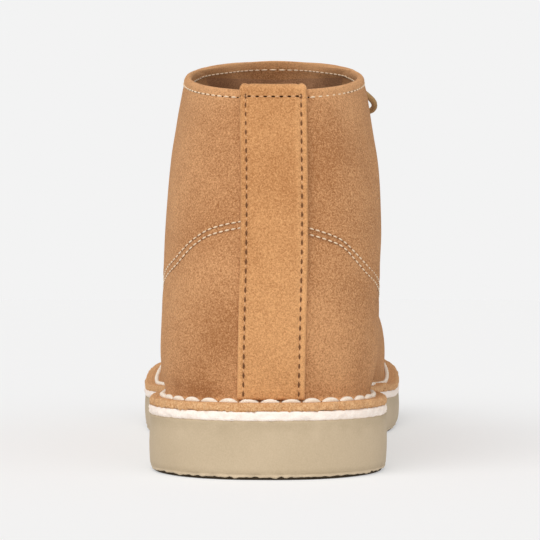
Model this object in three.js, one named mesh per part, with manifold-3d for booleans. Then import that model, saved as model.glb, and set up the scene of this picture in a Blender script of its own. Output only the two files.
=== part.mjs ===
// Left ankle-high chukka boot with a crepe sole, in millimetres.
//
// +Z is up, the toe points to -Y and the outer (lateral) side is +X. The origin is on the floor,
// under the middle of the sole. The boot is built stitched-down: one leather upper is turned
// outwards at its lower edge and lies on a thin midsole, which lies on a wedge of crepe rubber.
//
// "along" is a distance forwards from the rearmost point of the sole, "height" is above the floor,
// and "side" is +1 on the outer side and -1 on the inner side of the foot.

import * as THREE from "three";
import { mergeVertices } from "three/addons/utils/BufferGeometryUtils.js";
import Module from "manifold-3d";

const wasm = await Module();
wasm.setup();

// ---------------------------------------------------------------- driving sizes

const LENGTH = 302; // sole, heel to toe
const GAP = 0.3; // left between pieces that meet
const WALL = 2.4; // upper leather with its lining
const MIDSOLE_THICK = 2.4;
const INSOLE_THICK = 3;
const STRAP_THICK = 1.6;
const STRAP_WIDTH = 20;
const STRAP_TUCK = 13; // how far the back strap goes down inside the collar
const STRAP_DRIFT = -1.2; // its lower end sits off the middle, to the inner side
const TONGUE_THICK = 1.8;
const TONGUE_RISE = 1.4; // its rounded top end, past the last section
const LACE = 2.4; // diameter of the round lace
const TOE_LIFT = 16; // toe spring at the tip of the sole
const LIFT_START = 180; // where the sole leaves the floor
const LIFT_POWER = 1.5; // how late the toe spring turns up
const END_POWER = 2.25; // squareness of the rounded heel and toe outlines
const HEEL_ROUND = 38;
const TOE_ROUND = 66;
const FLANGE_BACK = 5.8;
const FLANGE_TOE = 6.5;
const TOE_TIP = LENGTH - FLANGE_TOE; // of the upper above the flange
const TIP_ROUND = 34;
const TIP_POWER = 2.2;
const BULGE = 2.4; // how far the sides swell above the flange
const BULGE_HEIGHT = 18;
const SHAFT_CENTRE = -1.9; // the shaft leans to the inner side
const COLLAR_BACK = { along: 11.5, height: 118.8 };
const COLLAR_FRONT = { along: 125, height: 145.2 };
const THROAT_END = 160; // along, at the bottom of the throat
const THROAT_TOP_HALF = 5;
const THROAT_END_HALF = 3.5;
const EYELET_RADIUS = 2.7;
const EYELET_ACROSS = 14; // from the middle of the throat
const EYELET_ROWS = [0.944, 0.832]; // upper and lower pair, as a share of the way up the upper

const OUTER = 1;
const INNER = -1;
const OUTLINE_POINTS = 64;
const UPPER_BANDS = 18;

// ---------------------------------------------------------------- short tables

const table = (names, rows) => rows.map((row) => Object.fromEntries(names.map((name, i) => [name, row[i]])));

// Sole in plan: middle of the outline, half its width, and how far the flange stands out.
const SOLE = table(["along", "centre", "half", "flange"], [
  [0, 0, 38, 5.2],
  [40, 0, 38, 5.2],
  [75, 0.5, 36.5, 5.2],
  [110, 1.2, 38.2, 5.4],
  [150, 1, 45.8, 5.6],
  [185, 0.5, 52.3, 6.2],
  [215, 0.1, 55.3, 6.4],
  [245, -0.5, 55.5, 6.5],
  [275, -2.4, 52.4, 6.5],
  [302, -5, 49, 6.5],
]);

// Crepe wedge: thick under the heel, thinner under the toes.
const CREPE = table(["along", "thick"], [
  [0, 17.7],
  [70, 17.7],
  [190, 13.2],
  [302, 12.2],
]);

// Ridge of the upper seen from the side, carried on past the collar as a guide for the sections,
// the squareness of each section, how far its top leans to the side, and how much of the shaft's
// own width and of the sides' swelling it takes.
const RIDGE = table(["along", "height", "power", "lean", "shaft", "swell"], [
  [0, 301.5, 2.3, 0, 1, 1],
  [60, 226.5, 2.25, 0, 1, 1],
  [95, 182.5, 2.05, 0, 1, 1],
  [125, 145.2, 2, -0.5, 0.8, 0.9],
  [150, 114.5, 2.15, -2.5, 0.55, 0.5],
  [170, 92.5, 2.4, -4, 0.33, 0.2],
  [185, 79.8, 2.5, -4.8, 0.2, 0.05],
  [200, 71.4, 2.55, -5.5, 0.08, 0],
  [220, 65.2, 2.6, -6, 0, 0],
  [240, 61.2, 2.6, -5.5, 0, 0.1],
  [260, 58.4, 2.6, -5, 0, 0.1],
  [302, 53.4, 2.6, -3.5, 0, 0.1],
]);

// Back of the upper: how far in from the sole's rear it is, and the roundness of its plan.
const BACK = table(["height", "along", "round"], [
  [23.2, 5.8, 32.5],
  [30.5, 4.5, 34],
  [38.5, 3.5, 36],
  [50.5, 3, 38],
  [62.5, 3.2, 38],
  [75.5, 4.3, 39],
  [90.5, 6.8, 41],
  [118.8, 11.5, 50],
  [150.5, 17, 52],
]);

// Shaft: half width at a share of the height from flange to collar, and how much it rules.
const SHAFT = table(["share", "half", "rule"], [
  [0, 35.9, 0],
  [0.1, 35.9, 0.15],
  [0.25, 36, 0.4],
  [0.5, 36.1, 0.85],
  [0.7, 35.8, 1],
  [0.82, 35.3, 1],
  [1, 33.5, 1],
  [1.3, 28.1, 1],
]);

// Crepe side: how far in from the outline, at a share of the wedge's thickness.
const CREPE_SIDE = table(["share", "inset"], [
  [0, 1.6],
  [0.08, 0.4],
  [0.3, 0],
  [0.8, 0],
  [1, 0.3],
]);

// ---------------------------------------------------------------- reading the tables

const mix = THREE.MathUtils.lerp;

// A smooth curve through one column of a table.
function smooth(rows, key, column, at) {
  const last = rows.length - 1;
  const x = THREE.MathUtils.clamp(at, rows[0][key], rows[last][key]);
  let i = 0;
  while (i < last - 1 && x > rows[i + 1][key]) {
    i += 1;
  }
  const slope = (k) => {
    const before = rows[Math.max(k - 1, 0)];
    const after = rows[Math.min(k + 1, last)];
    return (after[column] - before[column]) / (after[key] - before[key]);
  };
  const width = rows[i + 1][key] - rows[i][key];
  const t = (x - rows[i][key]) / width;
  const ease = t * t * (3 - 2 * t);
  const bend = width * t * (1 - t) * ((1 - t) * slope(i) - t * slope(i + 1));
  return mix(rows[i][column], rows[i + 1][column], ease) + bend;
}

// 0 at a rounded end, 1 once past its round part.
function rounding(distance, round, power) {
  const u = THREE.MathUtils.clamp(1 - distance / round, 0, 1);
  return (1 - u ** power) ** (1 / power);
}

// ---------------------------------------------------------------- sole outline

const soleHalf = (along) => smooth(SOLE, "along", "half", along);
const soleCentre = (along) => smooth(SOLE, "along", "centre", along);
const flangeWidth = (along) => smooth(SOLE, "along", "flange", along);
const crepeThick = (along) => smooth(CREPE, "along", "thick", along);

function soleBottom(along) {
  const past = Math.max(along - LIFT_START, 0) / (LENGTH - LIFT_START);
  return TOE_LIFT * past ** LIFT_POWER;
}

const midsoleBottom = (along) => soleBottom(along) + crepeThick(along) + GAP;
const flangeBottom = (along) => midsoleBottom(along) + MIDSOLE_THICK + GAP;
const flangeTop = (along) => flangeBottom(along) + WALL;

// Turn runs from -0.5 (toe) by 0 (middle of the heel) to 0.5 (toe again), positive on the outer
// side. Equal steps of it give points that crowd together at the rounded ends.
const turns = Array.from({ length: OUTLINE_POINTS }, (_, i) => {
  const share = i / OUTLINE_POINTS;
  return share <= 0.5 ? share : share - 1;
});
const forwardShare = (turn) => (1 - Math.cos(2 * Math.PI * turn)) / 2;
const sideOf = (turn) => (turn >= 0 ? OUTER : INNER);

// A point of the sole's outline, drawn in by an inset.
function outline(turn, inset) {
  const along = mix(inset.back, LENGTH - inset.toe, forwardShare(turn));
  const heel = rounding(along - inset.back, HEEL_ROUND - inset.back, END_POWER);
  const toe = rounding(LENGTH - inset.toe - along, TOE_ROUND - inset.toe, END_POWER);
  const half = (soleHalf(along) - inset.side(along)) * heel * toe;
  return { along, across: soleCentre(along) + sideOf(turn) * half };
}

const evenInset = (inset) => ({ back: inset, toe: inset, side: () => inset });
const innerInset = {
  back: FLANGE_BACK + WALL + GAP,
  toe: FLANGE_TOE + WALL + GAP,
  side: (along) => flangeWidth(along) + WALL + GAP,
};

// The outline's widest points are not opposite each other, so its middle is moved onto X = 0.
const outlineAcross = turns.map((turn) => outline(turn, evenInset(0)).across);
const SIDE_SHIFT = -(Math.max(...outlineAcross) + Math.min(...outlineAcross)) / 2;

const place = (along, across, height) => new THREE.Vector3(across + SIDE_SHIFT, LENGTH / 2 - along, height);

// ---------------------------------------------------------------- skin of the upper

function ridgeHeight(along) {
  const base = flangeTop(along);
  const tip = rounding(TOE_TIP - along, TIP_ROUND, TIP_POWER);
  return base + (smooth(RIDGE, "along", "height", along) - base) * tip;
}

function collarHeight(along) {
  const share = (along - COLLAR_BACK.along) / (COLLAR_FRONT.along - COLLAR_BACK.along);
  return mix(COLLAR_BACK.height, COLLAR_FRONT.height, share);
}

// How far across the outer face of the upper is, at a place along the foot and a height.
function skinAcross(along, height, side) {
  const base = flangeTop(along);
  const column = (name) => smooth(RIDGE, "along", name, along);
  const up = THREE.MathUtils.clamp((height - base) / Math.max(ridgeHeight(along) - base, GAP), 0, 1);
  const dome = (1 - up ** column("power")) ** (1 / column("power"));
  const share = (height - base) / (collarHeight(along) - base);
  const rule = smooth(SHAFT, "share", "rule", share) * column("shaft");
  const rise = Math.max(height - base, 0) / BULGE_HEIGHT;
  const bulge = BULGE * column("swell") * (rise * Math.exp(1 - rise)) ** 2;
  const footHalf = soleHalf(along) - flangeWidth(along) + bulge;
  const toe = rounding(TOE_TIP - along, TOE_ROUND - FLANGE_TOE, END_POWER);
  const backGap = along - smooth(BACK, "height", "along", height);
  const heel = rounding(backGap, smooth(BACK, "height", "round", height), END_POWER);
  const half = mix(footHalf, smooth(SHAFT, "share", "half", share), rule) * toe * heel * dome;
  const centre = mix(soleCentre(along), SHAFT_CENTRE, rule) + column("lean") * up ** 1.5;
  return centre + side * half;
}

// Bands climb the back of the heel and the ridge of the foot in equal steps of their length.
const CURVE_STEPS = 60;
const steps = Array.from({ length: CURVE_STEPS + 1 }, (_, k) => k / CURVE_STEPS);
const ridgeCurve = new THREE.SplineCurve(steps.map((share) => {
  const along = mix(TOE_TIP, COLLAR_FRONT.along, 1 - Math.cos((share * Math.PI) / 2));
  return new THREE.Vector2(along, ridgeHeight(along));
}));
const backCurve = new THREE.SplineCurve(steps.map((share) => {
  const height = mix(flangeTop(FLANGE_BACK), COLLAR_BACK.height, share);
  return new THREE.Vector2(smooth(BACK, "height", "along", height), height);
}));

// A point of the skin: climb is 0 at the flange and 1 at the collar.
function skinPoint(climb, turn) {
  const front = ridgeCurve.getPointAt(climb).x;
  const backHeight = backCurve.getPointAt(climb).y;
  const back = smooth(BACK, "height", "along", backHeight);
  const share = forwardShare(turn);
  const along = mix(back, front, share);
  const rise = mix(backHeight - flangeTop(back), ridgeHeight(front) - flangeTop(front), share);
  const height = flangeTop(along) + rise;
  return place(along, skinAcross(along, height, sideOf(turn)), height);
}

// The same point with the outward direction there, from its neighbours.
function skinFrame(climb, turn) {
  const stepTurn = 0.008;
  const stepClimb = 0.02;
  const wrap = (value) => value - Math.round(value);
  const point = skinPoint(climb, turn);
  const around = skinPoint(climb, wrap(turn + stepTurn)).sub(skinPoint(climb, wrap(turn - stepTurn)));
  const high = skinPoint(Math.min(climb + stepClimb, 1), turn);
  const low = skinPoint(Math.max(climb - stepClimb, 0), turn);
  const upward = climb === 0 ? new THREE.Vector3(0, 0, 1) : high.sub(low);
  return { point, outward: upward.cross(around).normalize() };
}

const lifted = (frame, lift) => frame.point.clone().addScaledVector(frame.outward, lift);

// The frame at a distance across from the back seam (front = false) or from the ridge (true).
function frameAcross(climb, across, front) {
  const middle = front ? 0.5 : 0;
  const start = skinPoint(climb, middle).x;
  let near = 0;
  let far = 0.24;
  const sign = across < 0 ? INNER : OUTER;
  const turnAt = (away) => sign * Math.abs(middle - away);
  for (let k = 0; k < 30; k += 1) {
    const half = (near + far) / 2;
    if (Math.abs(skinPoint(climb, turnAt(half)).x - start) < Math.abs(across)) {
      near = half;
    } else {
      far = half;
    }
  }
  return skinFrame(climb, turnAt(near));
}

// ---------------------------------------------------------------- meshes from rings and grids

function meshGeometry(points, triangles) {
  const geometry = new THREE.BufferGeometry();
  geometry.setAttribute("position", new THREE.Float32BufferAttribute(points.flatMap((p) => p.toArray()), 3));
  geometry.setIndex(triangles);
  return geometry;
}

const quad = (a, b, c, d) => [a, d, c, a, c, b];

// Joins each ring to the next; closed also joins the last ring to the first.
function ringTriangles(ringCount, size, closed) {
  const triangles = [];
  const bands = closed ? ringCount : ringCount - 1;
  for (let j = 0; j < bands; j += 1) {
    const low = j * size;
    const high = ((j + 1) % ringCount) * size;
    for (let i = 0; i < size; i += 1) {
      const next = (i + 1) % size;
      triangles.push(...quad(low + i, low + next, high + next, high + i));
    }
  }
  return triangles;
}

// Closes a ring with strips from its outer side to its inner side.
function capTriangles(start, size, facesUp) {
  const triangles = [];
  for (let i = 0; i < size / 2; i += 1) {
    const a = start + i;
    const b = start + i + 1;
    const c = start + ((size - i - 1) % size);
    const d = start + ((size - i) % size);
    const faces = [];
    if (i < size / 2 - 1) {
      faces.push([a, c, b]);
    }
    if (i > 0) {
      faces.push([a, d, c]);
    }
    faces.forEach(([p, q, r]) => triangles.push(...(facesUp ? [p, q, r] : [p, r, q])));
  }
  return triangles;
}

// A plate with the sole's outline: one ring for each layer of inset and height.
function plateGeometry(layers) {
  const points = layers.flatMap((layer) => turns.map((turn) => {
    const { along, across } = outline(turn, layer.inset);
    return place(along, across, layer.height(along));
  }));
  const triangles = ringTriangles(layers.length, OUTLINE_POINTS, false);
  triangles.push(...capTriangles(0, OUTLINE_POINTS, false));
  triangles.push(...capTriangles((layers.length - 1) * OUTLINE_POINTS, OUTLINE_POINTS, true));
  return meshGeometry(points, triangles);
}

// A sheet between an outer and an inner grid of points, each a list of rows.
function sheetGeometry(outer, inner) {
  const rings = outer.map((row, j) => [...row, ...[...inner[j]].reverse()]);
  const size = rings[0].length;
  const half = size / 2;
  const triangles = ringTriangles(rings.length, size, false);
  const top = (rings.length - 1) * size;
  for (let i = 0; i < half - 1; i += 1) {
    triangles.push(...quad(size - 1 - i, size - 2 - i, i + 1, i));
    triangles.push(...quad(top + i, top + i + 1, top + size - 2 - i, top + size - 1 - i));
  }
  return meshGeometry(rings.flat(), triangles);
}

// ---------------------------------------------------------------- cutting and joining

function toSolid(geometry) {
  const bare = geometry.clone();
  bare.deleteAttribute("normal");
  bare.deleteAttribute("uv");
  const merged = mergeVertices(bare);
  return new wasm.Manifold(new wasm.Mesh({
    numProp: 3,
    vertProperties: merged.attributes.position.array,
    triVerts: Uint32Array.from(merged.index.array),
  }));
}

function toGeometry(solid) {
  const mesh = solid.getMesh();
  const geometry = new THREE.BufferGeometry();
  geometry.setAttribute("position", new THREE.BufferAttribute(mesh.vertProperties, 3));
  geometry.setIndex(new THREE.BufferAttribute(mesh.triVerts, 1));
  return geometry;
}

// ---------------------------------------------------------------- sole pieces

function outsoleGeometry() {
  return plateGeometry(CREPE_SIDE.map((row) => ({
    inset: evenInset(row.inset),
    height: (along) => soleBottom(along) + crepeThick(along) * row.share,
  })));
}

function slabGeometry(inset, bottom, thick) {
  return plateGeometry([
    { inset, height: bottom },
    { inset, height: (along) => bottom(along) + thick },
  ]);
}

// ---------------------------------------------------------------- upper

// One hollow wall: up the outside, over the collar, down the inside and out under the flange.
function upperWall() {
  const climbs = Array.from({ length: UPPER_BANDS + 1 }, (_, j) => j / UPPER_BANDS);
  const outer = climbs.map((climb) => turns.map((turn) => skinFrame(climb, turn)));
  const foot = outer[0].map((frame) => {
    const point = lifted(frame, -WALL);
    return point.setZ(point.z - WALL);
  });
  const edge = (height) => turns.map((turn) => {
    const { along, across } = outline(turn, evenInset(0));
    return place(along, across, height(along));
  });
  const rings = [
    ...outer.map((ring) => ring.map((frame) => frame.point)),
    ...[...outer].reverse().map((ring) => ring.map((frame) => lifted(frame, -WALL))),
    foot,
    edge(flangeBottom),
    edge(flangeTop),
  ];
  return meshGeometry(rings.flat(), ringTriangles(rings.length, OUTLINE_POINTS, true));
}

// The throat is a slot that runs up the front of the shaft and out through the collar.
function throatCutter() {
  const climbOf = (along) => {
    let low = 0;
    let high = 1;
    for (let k = 0; k < 30; k += 1) {
      const half = (low + high) / 2;
      if (ridgeCurve.getPointAt(half).x > along) {
        low = half;
      } else {
        high = half;
      }
    }
    return low;
  };
  const bottom = skinPoint(climbOf(THROAT_END), 0.5);
  const top = skinPoint(1, 0.5);
  const reach = 15;
  const slope = bottom.distanceTo(top) + reach;
  const shape = new THREE.Shape();
  shape.absarc(0, 0, THROAT_END_HALF, Math.PI, 2 * Math.PI, false);
  shape.lineTo(THROAT_TOP_HALF, slope);
  shape.lineTo(-THROAT_TOP_HALF, slope);
  const depth = 2 * reach;
  const geometry = new THREE.ExtrudeGeometry(shape, { depth, bevelEnabled: false, curveSegments: 8 });
  geometry.translate(0, 0, -depth / 2);
  const up = top.clone().sub(bottom).normalize();
  const outward = new THREE.Vector3(1, 0, 0).cross(up).normalize();
  const acrossAxis = up.clone().cross(outward);
  geometry.applyMatrix4(new THREE.Matrix4().makeBasis(acrossAxis, up, outward).setPosition(bottom));
  return geometry;
}

function eyeletCutter(climb, side) {
  const frame = frameAcross(climb, side * EYELET_ACROSS, true);
  const geometry = new THREE.CylinderGeometry(EYELET_RADIUS, EYELET_RADIUS, 4 * WALL, 16);
  const turn = new THREE.Quaternion().setFromUnitVectors(new THREE.Vector3(0, 1, 0), frame.outward);
  geometry.applyQuaternion(turn);
  const middle = lifted(frame, -WALL / 2);
  geometry.translate(middle.x, middle.y, middle.z);
  return geometry;
}

function upperGeometry() {
  let solid = toSolid(upperWall()).subtract(toSolid(throatCutter()));
  for (const climb of EYELET_ROWS) {
    for (const side of [OUTER, INNER]) {
      solid = solid.subtract(toSolid(eyeletCutter(climb, side)));
    }
  }
  return toGeometry(solid);
}

// ---------------------------------------------------------------- back strap and tongue

// The strap climbs the back seam, folds over the collar and is tucked down inside.
function strapGeometry() {
  const columns = [-1, -0.67, -0.33, 0, 0.33, 0.67, 1];
  const climbs = Array.from({ length: 13 }, (_, j) => mix(0.012, 1, j / 12));
  const folds = [30, 60, 90, 120, 150].map(THREE.MathUtils.degToRad);
  const tucks = [0, 0.5, 1];
  const lines = columns.map((column) => {
    const acrossAt = (climb) => (column * STRAP_WIDTH) / 2 + STRAP_DRIFT * (1 - climb);
    const frames = climbs.map((climb) => frameAcross(climb, acrossAt(climb), false));
    const top = frames[frames.length - 1];
    const level = top.outward.clone().setZ(0).normalize();
    const centre = lifted({ point: top.point, outward: level }, -WALL / 2);
    const up = new THREE.Vector3(0, 0, 1);
    const rounded = folds.map((angle) => {
      const outward = level.clone().multiplyScalar(Math.cos(angle)).addScaledVector(up, Math.sin(angle));
      const rim = level.clone().multiplyScalar((WALL / 2) * Math.cos(angle));
      return { point: centre.clone().add(rim), outward };
    });
    const inside = tucks.map((share) => {
      const climb = 1 - (share * STRAP_TUCK) / backCurve.getLength();
      const frame = frameAcross(climb, acrossAt(climb), false);
      return { point: lifted(frame, -WALL), outward: frame.outward.clone().negate() };
    });
    return [...frames, ...rounded, ...inside];
  });
  const rowsAt = (lift) => lines[0].map((_, j) => lines.map((line) => lifted(line[j], lift)));
  return sheetGeometry(rowsAt(GAP + STRAP_THICK), rowsAt(GAP));
}

// The tongue lies under the facings, with room for the lace between, and goes in under the vamp.
const TONGUE = table(["climb", "half", "depth"], [
  [0.56, 17, 0.5],
  [0.62, 18, 1.4],
  [0.7, 20, 3.4],
  [0.8, 21.5, 3.4],
  [0.94, 22.7, 3.4],
  [1, 23, 1],
]);

function tongueGeometry() {
  const climbs = Array.from({ length: 12 }, (_, j) => mix(TONGUE[0].climb, 1, j / 11));
  const columns = Array.from({ length: 11 }, (_, i) => mix(1, -1, i / 10));
  const upSlope = skinPoint(1, 0.5).sub(skinPoint(EYELET_ROWS[0], 0.5)).normalize();
  const rowsAt = (extra) => {
    const rows = climbs.map((climb) => columns.map((column) => {
      const across = column * smooth(TONGUE, "climb", "half", climb);
      const frame = frameAcross(climb, across, true);
      return lifted(frame, -(WALL + smooth(TONGUE, "climb", "depth", climb) + extra));
    }));
    const top = rows[rows.length - 1].map((point, i) => {
      const rise = TONGUE_RISE * (1 - 0.8 * columns[i] ** 2);
      return point.clone().addScaledVector(upSlope, rise);
    });
    return [...rows, top];
  };
  return sheetGeometry(rowsAt(0), rowsAt(TONGUE_THICK));
}

// ---------------------------------------------------------------- lace

// A round cord along a smooth route.
function cordGeometry(route, radius, sides, spacing) {
  const curve = new THREE.CatmullRomCurve3(route, false, "centripetal");
  const section = new THREE.Shape(Array.from({ length: sides }, (_, k) => {
    const angle = (2 * Math.PI * k) / sides;
    return new THREE.Vector2(radius * Math.cos(angle), radius * Math.sin(angle));
  }));
  const stepCount = Math.max(Math.round(curve.getLength() / spacing), 2);
  return new THREE.ExtrudeGeometry(section, { steps: stepCount, extrudePath: curve });
}

const laceGeometry = (route) => cordGeometry(route, LACE / 2, 8, 2 * LACE);

// Half of the laced stretch: out of an upper eyelet's inside, crossing over to the lower eyelet
// of the other side, up through it and to the middle of the bar between the lower eyelets.
const [UPPER_ROW, LOWER_ROW] = EYELET_ROWS;
const LACED = table(["climb", "across", "lift"], [
  [UPPER_ROW, 5.8, 3.5],
  [UPPER_ROW, 8.5, 3.4],
  [UPPER_ROW, 11.4, 3.1],
  [UPPER_ROW, 13.6, 1.8],
  [UPPER_ROW, 14, -1.2],
  [0.94, 13.4, -3.6],
  [0.93, 10.5, -4.1],
  [0.888, 0, -4.1],
  [0.846, -10.5, -4.1],
  [0.836, -13.4, -3.6],
  [LOWER_ROW, -14, -1.2],
  [LOWER_ROW, -13.6, 1.6],
  [LOWER_ROW, -10.8, 2.3],
  [LOWER_ROW, -5, 2.1],
  [LOWER_ROW, 1, 2.1],
]);

function lacedGeometry() {
  const half = (side) => {
    const route = LACED.map((row) => lifted(frameAcross(row.climb, side * row.across, true), row.lift));
    return toSolid(cordGeometry(route, LACE / 2, 8, LACE));
  };
  return toGeometry(half(OUTER).add(half(INNER)));
}

// The knot sits over the throat, between the upper eyelets.
const KNOT = { across: 5, along: 3.8, deep: 3.2, lift: 4.8 };
const knotFrame = skinFrame(UPPER_ROW, 0.5);
const knotCentre = lifted(knotFrame, KNOT.lift);

function knotGeometry() {
  const geometry = new THREE.SphereGeometry(1, 12, 8);
  geometry.scale(KNOT.across, KNOT.along, KNOT.deep);
  const turn = new THREE.Quaternion().setFromUnitVectors(new THREE.Vector3(0, 0, 1), knotFrame.outward);
  geometry.applyQuaternion(turn);
  geometry.translate(knotCentre.x, knotCentre.y, knotCentre.z);
  return geometry;
}

// Routes of the bow's loops, from the knot's middle: across, forwards and up.
const LOOPS = {
  outer: table(["across", "forward", "up"], [
    [6.5, -0.5, 0.6],
    [12, -0.6, 1.4],
    [19, 0.2, 0.6],
    [26, 2.4, -3.4],
    [30.5, 5.2, -8.4],
    [32.4, 8.8, -12],
    [31, 12.4, -14.4],
    [27, 13.6, -14.2],
    [20, 11.2, -10.6],
    [13, 7, -5.6],
    [6.8, 2.8, -1.9],
  ]),
  inner: table(["across", "forward", "up"], [
    [-6.5, -0.8, 0.8],
    [-13, -1.4, 1.7],
    [-22, -0.9, 1.1],
    [-30, 0.8, -1.7],
    [-35.4, 3, -5],
    [-38.4, 6.2, -7.8],
    [-38, 9.8, -9.8],
    [-34.6, 12, -10.6],
    [-27, 11.4, -9.2],
    [-17, 8, -5.8],
    [-7.2, 3, -1.9],
  ]),
};

const loopRoute = (rows) => rows.map((row) => new THREE.Vector3(row.across, -row.forward, row.up).add(knotCentre));

// The lace's ends hang from the knot and lie on the sides of the throat; each has a stiff tip.
const END_ROWS = table(["climb", "across", "lift"], [
  [0.925, 3.4, 4.2],
  [0.905, 8, 3.6],
  [0.885, 13, 2.4],
  [0.86, 17.2, 1.7],
  [0.83, 19.6, 1.6],
  [0.79, 21, 1.6],
  [0.75, 21.4, 1.6],
  [0.71, 21, 1.6],
]);
const TIP_ROWS = table(["climb", "across", "lift"], [
  [0.703, 20.9, 2],
  [0.642, 19.8, 2.9],
]);
const endRoute = (rows, side) => rows.map((row) => lifted(frameAcross(row.climb, side * row.across, true), row.lift));

// ---------------------------------------------------------------- the boot

const finish = (color, roughness) => new THREE.MeshStandardMaterial({ color, roughness, metalness: 0 });
const SUEDE = finish("#c38d5f", 0.95);
const STRAP_SUEDE = finish("#d19a65", 0.95);
const CREPE_RUBBER = finish("#c9b599", 0.8);
const MIDSOLE_FELT = finish("#f5e9e0", 0.9);
const INSOLE_LEATHER = finish("#b98d62", 0.8);
const LACE_COTTON = finish("#b08a58", 0.9);
const TIP_PLASTIC = finish("#8a6a42", 0.5);

const boot = new THREE.Group();

function addPiece(name, geometry, material) {
  const mesh = new THREE.Mesh(geometry, material);
  mesh.name = name;
  boot.add(mesh);
}

addPiece("outsole", outsoleGeometry(), CREPE_RUBBER);
addPiece("midsole", slabGeometry(evenInset(GAP), midsoleBottom, MIDSOLE_THICK), MIDSOLE_FELT);
addPiece("insole", slabGeometry(innerInset, flangeBottom, INSOLE_THICK), INSOLE_LEATHER);
addPiece("upper", upperGeometry(), SUEDE);
addPiece("back_strap", strapGeometry(), STRAP_SUEDE);
addPiece("tongue", tongueGeometry(), SUEDE);
addPiece("lace_laced", lacedGeometry(), LACE_COTTON);
addPiece("lace_knot", knotGeometry(), LACE_COTTON);
addPiece("lace_loop_outer", laceGeometry(loopRoute(LOOPS.outer)), LACE_COTTON);
addPiece("lace_loop_inner", laceGeometry(loopRoute(LOOPS.inner)), LACE_COTTON);
addPiece("lace_end_outer", laceGeometry(endRoute(END_ROWS, OUTER)), LACE_COTTON);
addPiece("lace_end_inner", laceGeometry(endRoute(END_ROWS, INNER)), LACE_COTTON);
addPiece("lace_tip_outer", laceGeometry(endRoute(TIP_ROWS, OUTER)), TIP_PLASTIC);
addPiece("lace_tip_inner", laceGeometry(endRoute(TIP_ROWS, INNER)), TIP_PLASTIC);

export default boot;
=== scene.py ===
# %% [markdown]
# # A left chukka boot, dressed around its CAD part
#
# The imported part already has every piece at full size. This lesson gives it its looks: suede
# panels, a turned-out edge sewn with thick thread, a felt midsole, a crepe sole and a tied lace.
# The frame is loaded first, because every later piece is placed by its measures.

import math

import bmesh
import bpy
import numpy as np
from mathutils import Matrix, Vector


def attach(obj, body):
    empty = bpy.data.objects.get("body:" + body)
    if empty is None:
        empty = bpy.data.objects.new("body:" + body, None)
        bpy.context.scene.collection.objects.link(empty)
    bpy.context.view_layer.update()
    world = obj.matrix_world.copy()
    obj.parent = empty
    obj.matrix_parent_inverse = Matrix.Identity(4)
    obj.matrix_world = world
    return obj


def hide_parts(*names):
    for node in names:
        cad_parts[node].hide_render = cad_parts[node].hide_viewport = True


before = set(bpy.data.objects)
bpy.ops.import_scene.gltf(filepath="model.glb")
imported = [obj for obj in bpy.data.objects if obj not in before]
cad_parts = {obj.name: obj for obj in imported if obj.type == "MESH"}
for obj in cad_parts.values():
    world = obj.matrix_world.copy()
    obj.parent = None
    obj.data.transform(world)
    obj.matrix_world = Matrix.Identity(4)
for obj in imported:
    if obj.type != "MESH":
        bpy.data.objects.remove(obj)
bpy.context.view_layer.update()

# %% [markdown]
# ## Camera
#
# A product camera for shoes stands low, at about half the boot's height, and looks level at the
# heel. A long lens keeps the sides of the shaft straight. The camera is aimed with a tracking
# rotation worked out from two points, so no constraint is left on it.

# %% Camera behind the heel
EYE = Vector((-0.0055, 0.614, 0.055))
AIM = Vector((-0.0005, 0.114, 0.0637))
LENS = 103

camera_data = bpy.data.cameras.new("camera")
camera_data.lens = LENS
camera_data.clip_start = 0.01
camera = bpy.data.objects.new("camera", camera_data)
camera.location = EYE
camera.rotation_euler = (AIM - EYE).to_track_quat("-Z", "Y").to_euler()
bpy.context.scene.collection.objects.link(camera)
bpy.context.scene.camera = camera
print("camera is", round((AIM - EYE).length, 3), "m from the point it looks at")

# %% [markdown]
# ## Measures of the last
#
# A shoemaker's last is described by a few measures along its length. Short tables hold them here,
# in millimetres, and a smooth curve is read through each column. The same rules shaped the CAD
# part, so the finer leather fits around it. "along" is the distance forwards from the back of the
# sole, and side is +1 on the outer side of the foot.

# %% Short tables of the last
MM = 0.001
LENGTH = 302.0
GAP = 0.3
WALL = 2.4
MIDSOLE_THICK = 2.4
STRAP_THICK = 1.6
STRAP_WIDTH = 20.0
STRAP_TUCK = 13.0
STRAP_DRIFT = -1.2
TONGUE_THICK = 1.8
LACE = 2.4
TOE_LIFT = 16.0
LIFT_START = 180.0
LIFT_POWER = 1.5
END_POWER = 2.25
HEEL_ROUND = 38.0
TOE_ROUND = 66.0
FLANGE_BACK = 5.8
FLANGE_TOE = 6.5
TOE_TIP = LENGTH - FLANGE_TOE
TIP_ROUND = 34.0
TIP_POWER = 2.2
BULGE = 2.4
BULGE_HEIGHT = 18.0
SHAFT_CENTRE = -1.9
COLLAR_BACK = (11.5, 118.8)
COLLAR_FRONT = (125.0, 145.2)

# along, centre, half width, flange width
SOLE = np.array([
    [0, 0, 38, 5.2],
    [40, 0, 38, 5.2],
    [75, 0.5, 36.5, 5.2],
    [110, 1.2, 38.2, 5.4],
    [150, 1, 45.8, 5.6],
    [185, 0.5, 52.3, 6.2],
    [215, 0.1, 55.3, 6.4],
    [245, -0.5, 55.5, 6.5],
    [275, -2.4, 52.4, 6.5],
    [302, -5, 49, 6.5],
])
# along, thickness of the crepe
CREPE = np.array([[0, 17.7], [70, 17.7], [190, 13.2], [302, 12.2]])
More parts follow.
